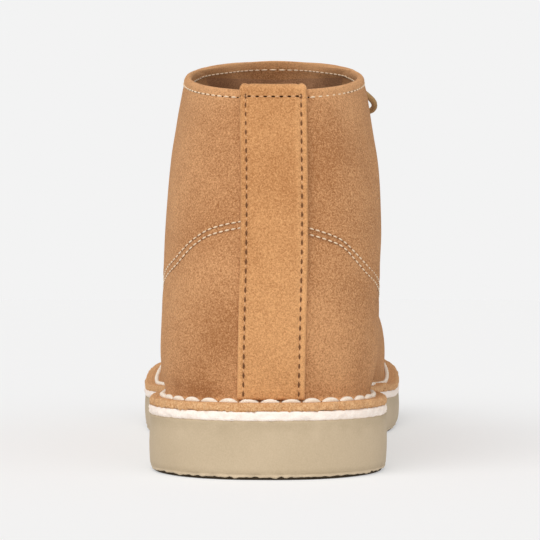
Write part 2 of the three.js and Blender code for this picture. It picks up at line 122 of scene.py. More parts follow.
# along, height of the ridge, squareness, lean, share of the shaft's width, share of the swell
RIDGE = np.array([
    [0, 301.5, 2.3, 0, 1, 1],
    [60, 226.5, 2.25, 0, 1, 1],
    [95, 182.5, 2.05, 0, 1, 1],
    [125, 145.2, 2, -0.5, 0.8, 0.9],
    [150, 114.5, 2.15, -2.5, 0.55, 0.5],
    [170, 92.5, 2.4, -4, 0.33, 0.2],
    [185, 79.8, 2.5, -4.8, 0.2, 0.05],
    [200, 71.4, 2.55, -5.5, 0.08, 0],
    [220, 65.2, 2.6, -6, 0, 0],
    [240, 61.2, 2.6, -5.5, 0, 0.1],
    [260, 58.4, 2.6, -5, 0, 0.1],
    [302, 53.4, 2.6, -3.5, 0, 0.1],
])
# height, along, roundness of the back of the heel
BACK = np.array([
    [23.2, 5.8, 32.5],
    [30.5, 4.5, 34],
    [38.5, 3.5, 36],
    [50.5, 3, 38],
    [62.5, 3.2, 38],
    [75.5, 4.3, 39],
    [90.5, 6.8, 41],
    [118.8, 11.5, 50],
    [150.5, 17, 52],
])
# share of the way up the shaft, half width, how much it rules
SHAFT = np.array([
    [0, 35.9, 0],
    [0.1, 35.9, 0.15],
    [0.25, 36, 0.4],
    [0.5, 36.1, 0.85],
    [0.7, 35.8, 1],
    [0.82, 35.3, 1],
    [1, 33.5, 1],
    [1.3, 28.1, 1],
])
print("the last is", LENGTH, "mm long, with", len(RIDGE), "sections")

# %% Read a table as a smooth curve


def mix(start, end, share):
    return start + (end - start) * share


def smooth(rows, column, at):
    """A smooth curve through one column of a table; the first column is the place."""
    keys, values = rows[:, 0], rows[:, column]
    last = len(keys) - 1
    index = np.arange(last + 1)
    before, after = np.maximum(index - 1, 0), np.minimum(index + 1, last)
    slopes = (values[after] - values[before]) / (keys[after] - keys[before])
    x = np.clip(at, keys[0], keys[last])
    i = np.clip(np.searchsorted(keys, x) - 1, 0, last - 1)
    width = keys[i + 1] - keys[i]
    t = (x - keys[i]) / width
    ease = t * t * (3 - 2 * t)
    bend = width * t * (1 - t) * ((1 - t) * slopes[i] - t * slopes[i + 1])
    return mix(values[i], values[i + 1], ease) + bend


def rounding(distance, reach, power):
    """0 at a rounded end, 1 once past its round part."""
    u = np.clip(1 - distance / reach, 0, 1)
    return (1 - u**power) ** (1 / power)


def step(value):
    """A smooth step from 0 to 1 as the value goes from 0 to 1."""
    t = np.clip(value, 0, 1)
    return t * t * (3 - 2 * t)


# %% Heights of the layers, and the outline of the sole


def sole_bottom(along):
    return TOE_LIFT * (np.maximum(along - LIFT_START, 0) / (LENGTH - LIFT_START)) ** LIFT_POWER


def midsole_bottom(along):
    return sole_bottom(along) + smooth(CREPE, 1, along) + GAP


def flange_bottom(along):
    return midsole_bottom(along) + MIDSOLE_THICK + GAP


def flange_top(along):
    return flange_bottom(along) + WALL


def forward_share(turn):
    return (1 - np.cos(2 * np.pi * turn)) / 2


def side_of(turn):
    return np.where(turn >= 0, 1.0, -1.0)


def outline(turn, back=0.0, toe=0.0, side=0.0):
    """The sole's outline, drawn in. Turn is 0 at the heel and 0.5 or -0.5 at the toe."""
    along = mix(back, LENGTH - toe, forward_share(turn))
    inset = side(along) if callable(side) else side
    half = smooth(SOLE, 2, along) - inset
    half = half * rounding(along - back, HEEL_ROUND - back, END_POWER)
    half = half * rounding(LENGTH - toe - along, TOE_ROUND - toe, END_POWER)
    return along, smooth(SOLE, 1, along) + side_of(turn) * half


CAD_OUTLINE_POINTS = 64
cad_turns = np.arange(CAD_OUTLINE_POINTS) / CAD_OUTLINE_POINTS
cad_turns = np.where(cad_turns <= 0.5, cad_turns, cad_turns - 1)
cad_across = outline(cad_turns)[1]
SIDE_SHIFT = -(cad_across.max() + cad_across.min()) / 2


def place(along, across, height):
    """Millimetres on the last to millimetres in the boot's frame."""
    along, across, height = np.broadcast_arrays(along, across, height)
    return np.stack([across + SIDE_SHIFT, LENGTH / 2 - along, height], axis=-1)


print("the outline is moved sideways by", round(SIDE_SHIFT, 2), "mm, onto the frame's middle")

# %% [markdown]
# ## The skin of the upper
#
# Leather pulled over a last takes the last's own surface. It is given here as a rule: "climb"
# goes from 0 at the turned-out edge to 1 at the collar, and "turn" goes round the foot. Any panel,
# seam or eyelet is then a place on that skin, lifted a little along the outward direction.

# %% The skin as a rule


def ridge_height(along):
    base = flange_top(along)
    tip = rounding(TOE_TIP - along, TIP_ROUND, TIP_POWER)
    return base + (smooth(RIDGE, 1, along) - base) * tip


def collar_height(along):
    share = (along - COLLAR_BACK[0]) / (COLLAR_FRONT[0] - COLLAR_BACK[0])
    return mix(COLLAR_BACK[1], COLLAR_FRONT[1], share)


def skin_across(along, height, side):
    base = flange_top(along)
    power = smooth(RIDGE, 2, along)
    up = np.clip((height - base) / np.maximum(ridge_height(along) - base, GAP), 0, 1)
    dome = (1 - up**power) ** (1 / power)
    share = (height - base) / (collar_height(along) - base)
    rule = smooth(SHAFT, 2, share) * smooth(RIDGE, 4, along)
    rise = np.maximum(height - base, 0) / BULGE_HEIGHT
    bulge = BULGE * smooth(RIDGE, 5, along) * (rise * np.exp(1 - rise)) ** 2
    foot_half = smooth(SOLE, 2, along) - smooth(SOLE, 3, along) + bulge
    toe = rounding(TOE_TIP - along, TOE_ROUND - FLANGE_TOE, END_POWER)
    back_gap = along - smooth(BACK, 1, height)
    heel = rounding(back_gap, smooth(BACK, 2, height), END_POWER)
    half = mix(foot_half, smooth(SHAFT, 1, share), rule) * toe * heel * dome
    centre = mix(smooth(SOLE, 1, along), SHAFT_CENTRE, rule) + smooth(RIDGE, 3, along) * up**1.5
    return centre + side * half


def even_shares(x, y):
    length = np.concatenate([[0], np.cumsum(np.hypot(np.diff(x), np.diff(y)))])
    return length / length[-1]


CURVE_STEPS = 601
curve_steps = np.linspace(0, 1, CURVE_STEPS)
front_along = mix(TOE_TIP, COLLAR_FRONT[0], 1 - np.cos(curve_steps * np.pi / 2))
front_share = even_shares(front_along, ridge_height(front_along))
back_height = mix(flange_top(FLANGE_BACK), COLLAR_BACK[1], curve_steps)
back_share = even_shares(smooth(BACK, 1, back_height), back_height)


def skin_point(climb, turn):
    front = np.interp(climb, front_share, front_along)
    heel_height = np.interp(climb, back_share, back_height)
    back = smooth(BACK, 1, heel_height)
    share = forward_share(turn)
    along = mix(back, front, share)
    rise = mix(heel_height - flange_top(back), ridge_height(front) - flange_top(front), share)
    height = flange_top(along) + rise
    return place(along, skin_across(along, height, side_of(turn)), height)


def skin_frame(climb, turn):
    """Points of the skin and the outward direction at each."""
    climb, turn = np.broadcast_arrays(np.asarray(climb, float), np.asarray(turn, float))
    step_turn, step_climb = 0.008, 0.02
    later, sooner = turn + step_turn, turn - step_turn
    around = skin_point(climb, later - np.round(later))
    around = around - skin_point(climb, sooner - np.round(sooner))
    high = skin_point(np.minimum(climb + step_climb, 1), turn)
    upward = high - skin_point(np.maximum(climb - step_climb, 0), turn)
    upward = np.where(climb[..., None] <= 0, np.array([0, 0, 1.0]), upward)
    outward = np.cross(upward, around)
    return skin_point(climb, turn), outward / np.linalg.norm(outward, axis=-1, keepdims=True)


def turn_across(climb, across, front):
    """The turn at a distance sideways from the back seam, or from the ridge in front."""
    climb, across = np.broadcast_arrays(np.asarray(climb, float), np.asarray(across, float))
    middle = 0.5 if front else 0.0
    start = skin_point(climb, middle)[..., 0]
    near, far = np.zeros(climb.shape), np.full(climb.shape, 0.24)
    sign = side_of(across)
    for _ in range(30):
        half = (near + far) / 2
        x = skin_point(climb, sign * np.abs(middle - half))[..., 0]
        short = np.abs(x - start) < np.abs(across)
        near, far = np.where(short, half, near), np.where(short, far, half)
    return sign * np.abs(middle - near)


def lifted(climb, turn, lift):
    point, outward = skin_frame(climb, turn)
    return point + outward * np.asarray(lift, float)[..., None]


back_seam = np.linalg.norm(skin_point(1.0, 0.0) - skin_point(0.0, 0.0))
print("the back seam is", round(float(back_seam), 1), "mm tall")

# %% [markdown]
# ## Helpers that turn grids of points into closed leather
#
# Leather has a thickness and cut edges. A panel is made from two grids, one for each face, and
# the edges between them are closed with strips, so the mesh is a true solid without a modifier.
# Points stay in millimetres until the mesh is written.

# %% Closed pieces from grids


def grid_faces(rows, columns, start=0, inward=False):
    low = start + np.arange(rows - 1)[:, None] * columns + np.arange(columns - 1)[None, :]
    corners = [low, low + columns, low + columns + 1, low + 1]
    if inward:
        corners.reverse()
    return np.stack([corner.ravel() for corner in corners], axis=1).tolist()


def zip_edges(outer, inner, flip, held):
    """Triangles between two lists of points; the first outer ones all meet the first inner one."""
    faces, j, k = [], 0, 0
    while j < len(outer) - 1 or k < len(inner) - 1:
        outer_next = (j + 1 - held) / (len(outer) - 1 - held)
        inner_next = (k + 1) / (len(inner) - 1)
        if j < len(outer) - 1 and (outer_next <= inner_next or k == len(inner) - 1):
            face = [outer[j], inner[k], outer[j + 1]]
            j += 1
        else:
            face = [outer[j], inner[k], inner[k + 1]]
            k += 1
        faces.append(face[::-1] if flip else face)
    return faces


def panel(outer, inner, held=0):
    """A closed piece between an outer and an inner grid with as many columns each."""
    rows, columns = outer.shape[:2]
    inner_rows = inner.shape[0]
    start = rows * columns
    points = np.concatenate([outer.reshape(-1, 3), inner.reshape(-1, 3)])
    outer_faces = grid_faces(rows, columns)
    inner_faces = grid_faces(inner_rows, columns, start, inward=True)
    top, inner_top = (rows - 1) * columns, start + (inner_rows - 1) * columns
    for i in range(columns - 1):
        outer_faces.append([i, i + 1, start + i + 1, start + i])
        outer_faces.append([top + i, inner_top + i, inner_top + i + 1, top + i + 1])
    for column, flip in ((0, False), (columns - 1, True)):
        outer_edge = [j * columns + column for j in range(rows)]
        inner_edge = [start + j * columns + column for j in range(inner_rows)]
        outer_faces += zip_edges(outer_edge, inner_edge, flip, held)
    return points, outer_faces, inner_faces


def make_piece(name, points, face_groups, materials, stands_for=()):
    """A smooth, closed mesh in metres; each group of faces takes the material of its number."""
    mesh = bpy.data.meshes.new(name)
    faces = [face for group in face_groups for face in group]
    mesh.from_pydata((np.asarray(points) * MM).tolist(), [], faces)
    groups = np.concatenate([np.full(len(group), i) for i, group in enumerate(face_groups)])
    mesh.polygons.foreach_set("material_index", groups.astype(np.int32))
    for material in materials:
        mesh.materials.append(material)
    solid = bmesh.new()
    solid.from_mesh(mesh)
    bmesh.ops.remove_doubles(solid, verts=solid.verts, dist=1e-6)
    bmesh.ops.dissolve_degenerate(solid, edges=solid.edges, dist=1e-7)
    if solid.calc_volume(signed=True) < 0:
        bmesh.ops.reverse_faces(solid, faces=solid.faces)
    open_edges = sum(1 for edge in solid.edges if not edge.is_manifold)
    solid.to_mesh(mesh)
    solid.free()
    mesh.polygons.foreach_set("use_smooth", [True] * len(mesh.polygons))
    mesh.update()
    piece = bpy.data.objects.new(name, mesh)
    bpy.context.scene.collection.objects.link(piece)
    triangles = sum(len(polygon.vertices) - 2 for polygon in mesh.polygons)
    print(name, "has", triangles, "triangles and", open_edges, "open edges")
    finish_piece(piece, stands_for)
    return piece


def finish_piece(piece, stands_for=()):
    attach(piece, "root")
    if stands_for:
        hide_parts(*stands_for)


# %% Soft noise, and the distance to a line on the leather


def waves(points, size, seed, count=9):
    """Smooth random relief between about -1 and 1, with features of the given size in mm."""
    random = np.random.default_rng(seed)
    directions = random.normal(size=(count, 3))
    directions /= np.linalg.norm(directions, axis=1, keepdims=True)
    pitch = 2 * np.pi / (size * random.uniform(0.7, 1.6, count))
    phases = random.uniform(0, 2 * np.pi, count)
    total = np.zeros(points.shape[:-1])
    for direction, wave, phase in zip(directions, pitch, phases):
        total += np.sin(points @ direction * wave + phase)
    return total / math.sqrt(count)


def line_distance(points, line):
    """Distance from each point to the nearest point of a finely divided line."""
    flat = points.reshape(-1, 3)
    best = np.full(len(flat), np.inf)
    for first in range(0, len(line), 64):
        part = line[first : first + 64]
        gaps = (flat**2).sum(1)[:, None] + (part**2).sum(1)[None, :] - 2 * flat @ part.T
        best = np.minimum(best, gaps.min(axis=1))
    return np.sqrt(np.maximum(best, 0)).reshape(points.shape[:-1])


def trough(distance, depth, width):
    return depth * np.exp(-((distance / width) ** 2))


print("relief helpers are ready")

# %% [markdown]
# ## Finishes
#
# Suede is the flesh side of the hide, brushed to a short nap. Up close it is a fine grain of light
# and dark fibres; from further off the nap lies in soft lighter and darker patches. One node group
# makes both, with its sizes as inputs, and every fibrous finish of the boot places it with its own
# values: suede, felt, thread and crepe. The sheen of the nap is set on each shader itself.

# %% Shared grain as a node group


def srgb(red, green, blue):
    linear = []
    for value in (red, green, blue):
        share = value / 255
        linear.append(((share + 0.055) / 1.055) ** 2.4 if share > 0.04045 else share / 12.92)
    return (*linear, 1.0)


def build_grain_group():
    """Light and dark patches with a fine grain over them, and the grain's height."""
    tree = bpy.data.node_groups.new("nap_and_grain", "ShaderNodeTree")
    face = tree.interface
    face.new_socket("Vector", in_out="INPUT", socket_type="NodeSocketVector")
    face.new_socket("Light", in_out="INPUT", socket_type="NodeSocketColor")
    face.new_socket("Dark", in_out="INPUT", socket_type="NodeSocketColor")
    for name in ("Tone", "Patch Scale", "Patch Strength", "Grain Scale", "Grain Strength"):
        face.new_socket(name, in_out="INPUT", socket_type="NodeSocketFloat")
    face.new_socket("Color", in_out="OUTPUT", socket_type="NodeSocketColor")
    face.new_socket("Height", in_out="OUTPUT", socket_type="NodeSocketFloat")
    nodes, links = tree.nodes, tree.links
    given, result = nodes.new("NodeGroupInput"), nodes.new("NodeGroupOutput")

    def noise(scale, detail, roughness, distortion=0.0, finer=1.0):
        node = nodes.new("ShaderNodeTexNoise")
        node.inputs["Detail"].default_value = detail
        node.inputs["Roughness"].default_value = roughness
        node.inputs["Distortion"].default_value = distortion
        size = nodes.new("ShaderNodeMath")
        size.operation = "MULTIPLY"
        size.inputs[1].default_value = finer
        links.new(given.outputs[scale], size.inputs[0])
        links.new(size.outputs[0], node.inputs["Scale"])
        links.new(given.outputs["Vector"], node.inputs["Vector"])
        return node.outputs["Fac"]

    def times(value, strength, factor):
        centred = nodes.new("ShaderNodeMath")
        centred.operation = "SUBTRACT"
        centred.inputs[1].default_value = 0.5
        links.new(value, centred.inputs[0])
        scaled = nodes.new("ShaderNodeMath")
        scaled.operation = "MULTIPLY"
        scaled.inputs[1].default_value = factor
        links.new(centred.outputs[0], scaled.inputs[0])
        strong = nodes.new("ShaderNodeMath")
        strong.operation = "MULTIPLY"
        links.new(scaled.outputs[0], strong.inputs[0])
        links.new(given.outputs[strength], strong.inputs[1])
        return strong.outputs[0]

    def add(first, second):
        node = nodes.new("ShaderNodeMath")
        node.operation = "ADD"
        links.new(first, node.inputs[0])
        links.new(second, node.inputs[1])
        return node.outputs[0]

    broad = noise("Patch Scale", 2.0, 0.55, 0.6)
    brushed = noise("Patch Scale", 3.0, 0.6, 1.2, finer=4.0)
    grain = noise("Grain Scale", 2.0, 0.65)
    fine = noise("Grain Scale", 2.0, 0.7, finer=2.3)
    total = add(times(broad, "Patch Strength", 1.0), times(brushed, "Patch Strength", 0.5))
    total = add(total, times(grain, "Grain Strength", 1.0))
    total = add(total, times(fine, "Grain Strength", 0.8))
    # The Tone input adds each piece's stored tone; on several pieces it holds painted highlights
    # and painted shade.
    total = add(total, given.outputs["Tone"])
    share = nodes.new("ShaderNodeMath")
    share.operation = "ADD"
    share.use_clamp = True
    share.inputs[1].default_value = 0.5
    links.new(total, share.inputs[0])
    blend = nodes.new("ShaderNodeMix")
    blend.data_type = "RGBA"
    links.new(share.outputs[0], blend.inputs["Factor"])
    links.new(given.outputs["Dark"], blend.inputs[6])
    links.new(given.outputs["Light"], blend.inputs[7])
    links.new(blend.outputs[2], result.inputs["Color"])
    links.new(add(grain, fine), result.inputs["Height"])
    return tree


grain_group = build_grain_group()
print("the grain group has", len(grain_group.nodes), "nodes")

# %% One function for every fibrous finish


def fibrous(name, light, dark, patch, grain, bump, rough=0.92, sheen=0.0, sheen_rough=0.5,
            sheen_tint=(1, 1, 1, 1), specular=0.2, stretch=(1, 1, 1), attribute=None):
    """patch and grain are (size in mm, strength); bump is (strength, height in mm)."""
    material = bpy.data.materials.new(name)
    material.use_nodes = True
    nodes, links = material.node_tree.nodes, material.node_tree.links
    nodes.clear()
    output = nodes.new("ShaderNodeOutputMaterial")
    shader = nodes.new("ShaderNodeBsdfPrincipled")
    shader.inputs["Roughness"].default_value = rough
    shader.inputs["Specular IOR Level"].default_value = specular
    shader.inputs["Sheen Weight"].default_value = sheen
    shader.inputs["Sheen Roughness"].default_value = sheen_rough
    shader.inputs["Sheen Tint"].default_value = sheen_tint
    place_node = nodes.new("ShaderNodeTexCoord")
    mapping = nodes.new("ShaderNodeMapping")
    mapping.inputs["Scale"].default_value = stretch
    group = nodes.new("ShaderNodeGroup")
    group.node_tree = grain_group
    group.inputs["Light"].default_value = light
    group.inputs["Dark"].default_value = dark
    group.inputs["Patch Scale"].default_value = 1 / (patch[0] * MM)
    group.inputs["Patch Strength"].default_value = patch[1]
    group.inputs["Grain Scale"].default_value = 1 / (grain[0] * MM)
    group.inputs["Grain Strength"].default_value = grain[1]
    relief = nodes.new("ShaderNodeBump")
    relief.inputs["Strength"].default_value = bump[0]
    relief.inputs["Distance"].default_value = bump[1] * MM
    if attribute:
        tone = nodes.new("ShaderNodeAttribute")
        tone.attribute_name = attribute
        links.new(tone.outputs["Fac"], group.inputs["Tone"])
    links.new(place_node.outputs["Object"], mapping.inputs["Vector"])
    links.new(mapping.outputs["Vector"], group.inputs["Vector"])
    links.new(group.outputs["Color"], shader.inputs["Base Color"])
    links.new(group.outputs["Height"], relief.inputs["Height"])
    links.new(relief.outputs["Normal"], shader.inputs["Normal"])
    links.new(shader.outputs["BSDF"], output.inputs["Surface"])
    return material


TAN_SHEEN = srgb(235, 200, 160)
suede = fibrous("tan_suede", srgb(221, 166, 116), srgb(159, 104, 61), (16, 0.5), (0.55, 2.3),
                (0.75, 0.4), sheen=0.25, sheen_tint=TAN_SHEEN, attribute="tone")
# The strap's suede is a lighter copy of the tan suede: painted light on the strip that faces the
# lamps.
strap_suede = fibrous("strap_suede", srgb(230, 172, 116), srgb(172, 115, 67), (18, 0.45),
                      (0.55, 1.9), (0.75, 0.4), sheen=0.25, sheen_tint=TAN_SHEEN, attribute="tone")
inner_suede = fibrous("inner_suede", srgb(208, 158, 118), srgb(148, 104, 72), (14, 0.5), (0.6, 2.0),
                      (0.6, 0.35), sheen=0.1, sheen_tint=TAN_SHEEN)
turned_edge = fibrous("turned_edge_suede", srgb(255, 206, 152), srgb(212, 148, 94), (5, 0.6),
                      (0.6, 2.4), (1.0, 0.6), sheen=0.2, sheen_tint=TAN_SHEEN)
felt = fibrous("off_white_felt", srgb(252, 243, 234), srgb(247, 229, 215), (3, 0.6), (0.6, 2.2),
               (0.5, 0.2), rough=0.95, stretch=(1, 1, 2.5))
crepe = fibrous("crepe_rubber", srgb(204, 184, 155), srgb(173, 154, 125), (22, 0.3), (0.5, 0.6),
                (0.2, 0.1), rough=0.62, specular=0.3, attribute="tone")
# A dark finish for the recessed band under the crepe's ragged lip: a painted shadow where the sole
# meets the floor.
painted_lip_shadow = fibrous("crepe_lip_painted_shadow", srgb(84, 70, 52), srgb(40, 32, 22), (4, 0.8), (0.6, 0.8),
                    (0.6, 0.3), rough=0.9, specular=0.1)
tread = fibrous("crepe_tread", srgb(190, 168, 132), srgb(140, 118, 86), (5, 0.9), (0.8, 0.8),
                (0.6, 0.5), rough=0.75, specular=0.3)
insole_leather = fibrous("insole_leather", srgb(190, 150, 108), srgb(160, 120, 82), (20, 0.6),
                         (0.5, 0.5), (0.25, 0.1), rough=0.6, specular=0.4)
cream_thread = fibrous("cream_thread", srgb(255, 248, 236), srgb(222, 205, 182), (2, 0.5),
                       (0.35, 1.0), (0.6, 0.15), rough=0.8, sheen=0.1)
pale_thread = fibrous("pale_thread", srgb(245, 224, 196), srgb(212, 184, 150), (2, 0.4), (0.3, 0.9),
                      (0.4, 0.1), rough=0.8)
tan_thread = fibrous("tan_thread", srgb(232, 190, 146), srgb(196, 146, 100), (2, 0.4), (0.3, 0.9),
                     (0.4, 0.1), rough=0.8)
brown_thread = fibrous("brown_thread", srgb(128, 86, 54), srgb(86, 54, 32), (2, 0.4), (0.3, 0.9),
                       (0.4, 0.1), rough=0.85)
# Needle holes are dark lenses laid on the leather: painted shade for the inside of each hole.
hole_shade = fibrous("needle_hole", srgb(74, 46, 28), srgb(46, 28, 16), (2, 0.3), (0.3, 0.5),
                     (0.2, 0.1), rough=0.95, specular=0.05)
soft_hole_shade = fibrous("soft_needle_hole", srgb(150, 102, 66), srgb(112, 72, 44), (2, 0.3), (0.3, 0.5),
                    (0.2, 0.1), rough=0.95, specular=0.05)
lace_cotton = fibrous("lace_cotton", srgb(182, 145, 98), srgb(136, 102, 62), (4, 0.4), (0.3, 1.2),
                      (0.6, 0.15), rough=0.85, sheen=0.15)
lace_wrap = fibrous("lace_tip_wrap", srgb(150, 112, 70), srgb(116, 84, 50), (3, 0.3), (0.5, 0.4),
                    (0.1, 0.05), rough=0.4, specular=0.5)
print(len(bpy.data.materials), "materials are made")

# %% [markdown]
# ## The lace
#
# A round cotton lace is a braid over a core. Its route is a smooth line through a few listed
# points:
# over and under the leather, through the eyelets, into the knot, and out into two loops and two
# ends. A tube is swept along the line, and its skin rises and falls where the strands of the braid
# cross.

# %% A smooth line through placed points


def run_along(line):
    """Distance travelled at each point of a line."""
    return np.concatenate([[0], np.cumsum(np.linalg.norm(np.diff(line, axis=0), axis=1))])


def smooth_line(route, spacing):
    """A centripetal curve through the points, divided into even steps of about the spacing."""
    route = np.asarray(route, float)
    guides = np.vstack([2 * route[0] - route[1], route, 2 * route[-1] - route[-2]])
    shares = np.linspace(0, 1, 40)[:, None]
    parts = []
    for before, start, end, after in zip(guides, guides[1:], guides[2:], guides[3:]):
        pairs = (before, start), (start, end), (end, after)
        first, gap, last = [np.sqrt(np.linalg.norm(b - a)) for a, b in pairs]
        leave = (start - before) / first - (end - before) / (first + gap) + (end - start) / gap
        reach = (end - start) / gap - (after - start) / (gap + last) + (after - end) / last
        leave, reach = leave * gap, reach * gap
        square, cube = shares**2, shares**3
        part = (2 * cube - 3 * square + 1) * start + (cube - 2 * square + shares) * leave
        parts.append((part + (3 * square - 2 * cube) * end + (cube - square) * reach)[:-1])
    line = np.vstack([*parts, route[-1]])
    length = run_along(line)
    even = np.linspace(0, length[-1], max(int(round(length[-1] / spacing)), 2) + 1)
    return np.stack([np.interp(even, length, line[:, axis]) for axis in range(3)], axis=1)


def line_length(line):
    return float(np.linalg.norm(np.diff(line, axis=0), axis=1).sum())


# %% A braided tube along a line
CORD_SIDES = 16
BRAID_PITCH = 1.9
BRAID_DEPTH = 0.16


def braided_tube(line, radius, start=0, braid=BRAID_DEPTH):
    """Points and faces of a closed tube whose surface follows a round braid of eight strands."""
    tangent = np.gradient(line, axis=0)
    tangent /= np.linalg.norm(tangent, axis=1, keepdims=True)
    side = np.cross(tangent[0], [0.0, 0.0, 1.0])
    if np.linalg.norm(side) < 0.1:
        side = np.cross(tangent[0], [1.0, 0.0, 0.0])
    sides = []
    for direction in tangent:
        side = side - direction * side.dot(direction)
        side /= np.linalg.norm(side)
        sides.append(side)
    sides = np.array(sides)
    others = np.cross(tangent, sides)
    angle = np.arange(CORD_SIDES) * 2 * np.pi / CORD_SIDES
    lay = run_along(line)[:, None] * np.pi / BRAID_PITCH
    crossing = np.maximum(np.abs(np.sin(2 * angle + lay)), np.abs(np.sin(2 * angle - lay)))
    reach = radius * (1 - braid + braid * crossing)
    reach[[0, -1]] *= 0.7
    cosine, sine = np.cos(angle)[None, :, None], np.sin(angle)[None, :, None]
    rings = line[:, None] + reach[..., None] * (cosine * sides[:, None] + sine * others[:, None])
    faces = []
    for j in range(len(line) - 1):
        for i in range(CORD_SIDES):
            low, high = start + j * CORD_SIDES, start + (j + 1) * CORD_SIDES
            follow = (i + 1) % CORD_SIDES
            faces.append([low + i, low + follow, high + follow, high + i])
    faces.append([start + i for i in range(CORD_SIDES)][::-1])
    last = start + (len(line) - 1) * CORD_SIDES
    faces.append([last + i for i in range(CORD_SIDES)])
    return rings.reshape(-1, 3), faces


def lace_piece(name, lines, material, stands_for, radius=LACE / 2, braid=BRAID_DEPTH):
    points, faces = [], []
    for line in lines:
        start = sum(len(part) for part in points)
        rings, tube = braided_tube(line, radius, start, braid)
        points.append(rings)
        faces += tube
    return make_piece(name, np.vstack(points), [faces], [material], stands_for)


# %% Lace through the eyelets
UPPER_ROW, LOWER_ROW = 0.944, 0.832
EYELET_ACROSS = 14.0
EYELET_RADIUS = 2.7
OUTER, INNER = 1, -1
CORD_STEP = 0.4

# climb, distance sideways from the ridge, lift off the leather
LACED = [
    (UPPER_ROW, 5.8, 3.5),
    (UPPER_ROW, 8.5, 3.4),
    (UPPER_ROW, 11.4, 3.1),
    (UPPER_ROW, 13.6, 1.8),
    (UPPER_ROW, 14, -1.2),
    (0.94, 13.4, -3.6),
    (0.93, 10.5, -4.1),
    (0.888, 0, -4.1),
    (0.846, -10.5, -4.1),
    (0.836, -13.4, -3.6),
    (LOWER_ROW, -14, -1.2),
    (LOWER_ROW, -13.6, 1.6),
    (LOWER_ROW, -10.8, 2.3),
    (LOWER_ROW, -5, 2.1),
    (LOWER_ROW, 1, 2.1),
]


def leather_route(rows, side):
    climb, across, lift = np.array(rows).T
    return lifted(climb, turn_across(climb, side * across, True), lift)


laced_lines = [smooth_line(leather_route(LACED, side), CORD_STEP) for side in (OUTER, INNER)]
lace_piece("lace_through_eyelets", laced_lines, lace_cotton, ["lace_laced"])
print("laced stretch:", round(sum(map(line_length, laced_lines))), "mm")

# %% The knot
KNOT_LIFT = 4.8
KNOT_TURNS = 2.3
KNOT_HALF = 2.7
KNOT_ALONG = 2.5
KNOT_DEEP = 2.0
KNOT_START = 2.4
KNOT_CORD = 1.1

knot_foot, knot_outward = skin_frame(UPPER_ROW, 0.5)
knot_centre = knot_foot + knot_outward * KNOT_LIFT
across_axis = np.array([1.0, 0.0, 0.0])
slope_axis = np.cross(knot_outward, across_axis)
slope_axis /= np.linalg.norm(slope_axis)


def knot_point(across, along, deep):
    return knot_centre + across * across_axis + along * slope_axis + deep * knot_outward


wraps = []
for share in np.linspace(0, 1, 40):
    angle = share * KNOT_TURNS * 2 * np.pi + KNOT_START
    across = mix(-KNOT_HALF, KNOT_HALF, share)
    wraps.append(knot_point(across, KNOT_ALONG * math.cos(angle), KNOT_DEEP * math.sin(angle)))
core_up = [knot_point(x, 0.4 + 0.02 * x * x, 0.5) for x in (-7, -4, 0, 4, 7)]
core_low = [knot_point(x, -0.6 - 0.03 * x * x, -0.4) for x in (-7, -4, 0, 4, 7)]
knot_lines = [smooth_line(route, CORD_STEP) for route in (wraps, core_up, core_low)]
bow_knot = lace_piece("bow_knot", knot_lines, lace_cotton, ["lace_knot"], KNOT_CORD)

# %% Loops of the bow
# across, forwards and up from the middle of the knot, in mm
LOOPS = {
    "outer": [
        (6.5, -0.5, 0.6),
        (12, -0.6, 1.4),
        (19, 0.2, 0.6),
        (26, 2.4, -3.4),
        (30.5, 5.2, -8.4),
        (32.4, 8.8, -12),
        (31, 12.4, -14.4),
        (27, 13.6, -14.2),
        (20, 11.2, -10.6),
        (13, 7, -5.6),
        (6.8, 2.8, -1.9),
    ],
    "inner": [
        (-6.5, -0.8, 0.8),
        (-13, -1.4, 1.7),
        (-22, -0.9, 1.1),
        (-30, 0.8, -1.7),
        (-35.4, 3, -5),
        (-38.4, 6.2, -7.8),
        (-38, 9.8, -9.8),
        (-34.6, 12, -10.6),
        (-27, 11.4, -9.2),
        (-17, 8, -5.8),
        (-7.2, 3, -1.9),
    ],
}
for side, rows in LOOPS.items():
    route = [knot_centre + np.array([across, -forward, up]) for across, forward, up in rows]
    line = smooth_line(route, CORD_STEP)
    loop = lace_piece(f"bow_loop_{side}", [line], lace_cotton, [f"lace_loop_{side}"])

# %% Ends of the lace, with their stiff tips
# climb, distance sideways from the ridge, lift off the leather
END_ROWS = [
    (0.925, 3.4, 4.2),
    (0.905, 8, 3.6),
    (0.885, 13, 2.4),
    (0.86, 17.2, 1.7),
    (0.83, 19.6, 1.6),
    (0.79, 21, 1.6),
    (0.75, 21.4, 1.6),
    (0.71, 21, 1.6),
]
TIP_ROWS = [(0.703, 20.9, 2), (0.642, 19.8, 2.9)]
for side_name, side in (("outer", OUTER), ("inner", INNER)):
    tip_line = smooth_line(leather_route(TIP_ROWS, side), CORD_STEP)
    tip = lace_piece(f"lace_tip_wrap_{side_name}", [tip_line], lace_wrap,
                     [f"lace_tip_{side_name}"], braid=0.03)
    line = smooth_line(leather_route(END_ROWS, side), CORD_STEP)
    end = lace_piece(f"lace_end_cord_{side_name}", [line], lace_cotton,
                     [f"lace_end_{side_name}"])

# %% [markdown]
# ## Seam lines on the leather
#
# Every seam is planned before the leather is shaped, because a seam pulls the leather down into a
# soft groove. Each line is a run of places on the skin. The front edge of the quarters is the
# main one: it leaves the sole beside the waist, runs forwards over the vamp and turns up along the
# throat to the collar.

# %% Front edge of the quarters
CREASE_CLIMB = 0.016
RIM_CLIMB = 0.987

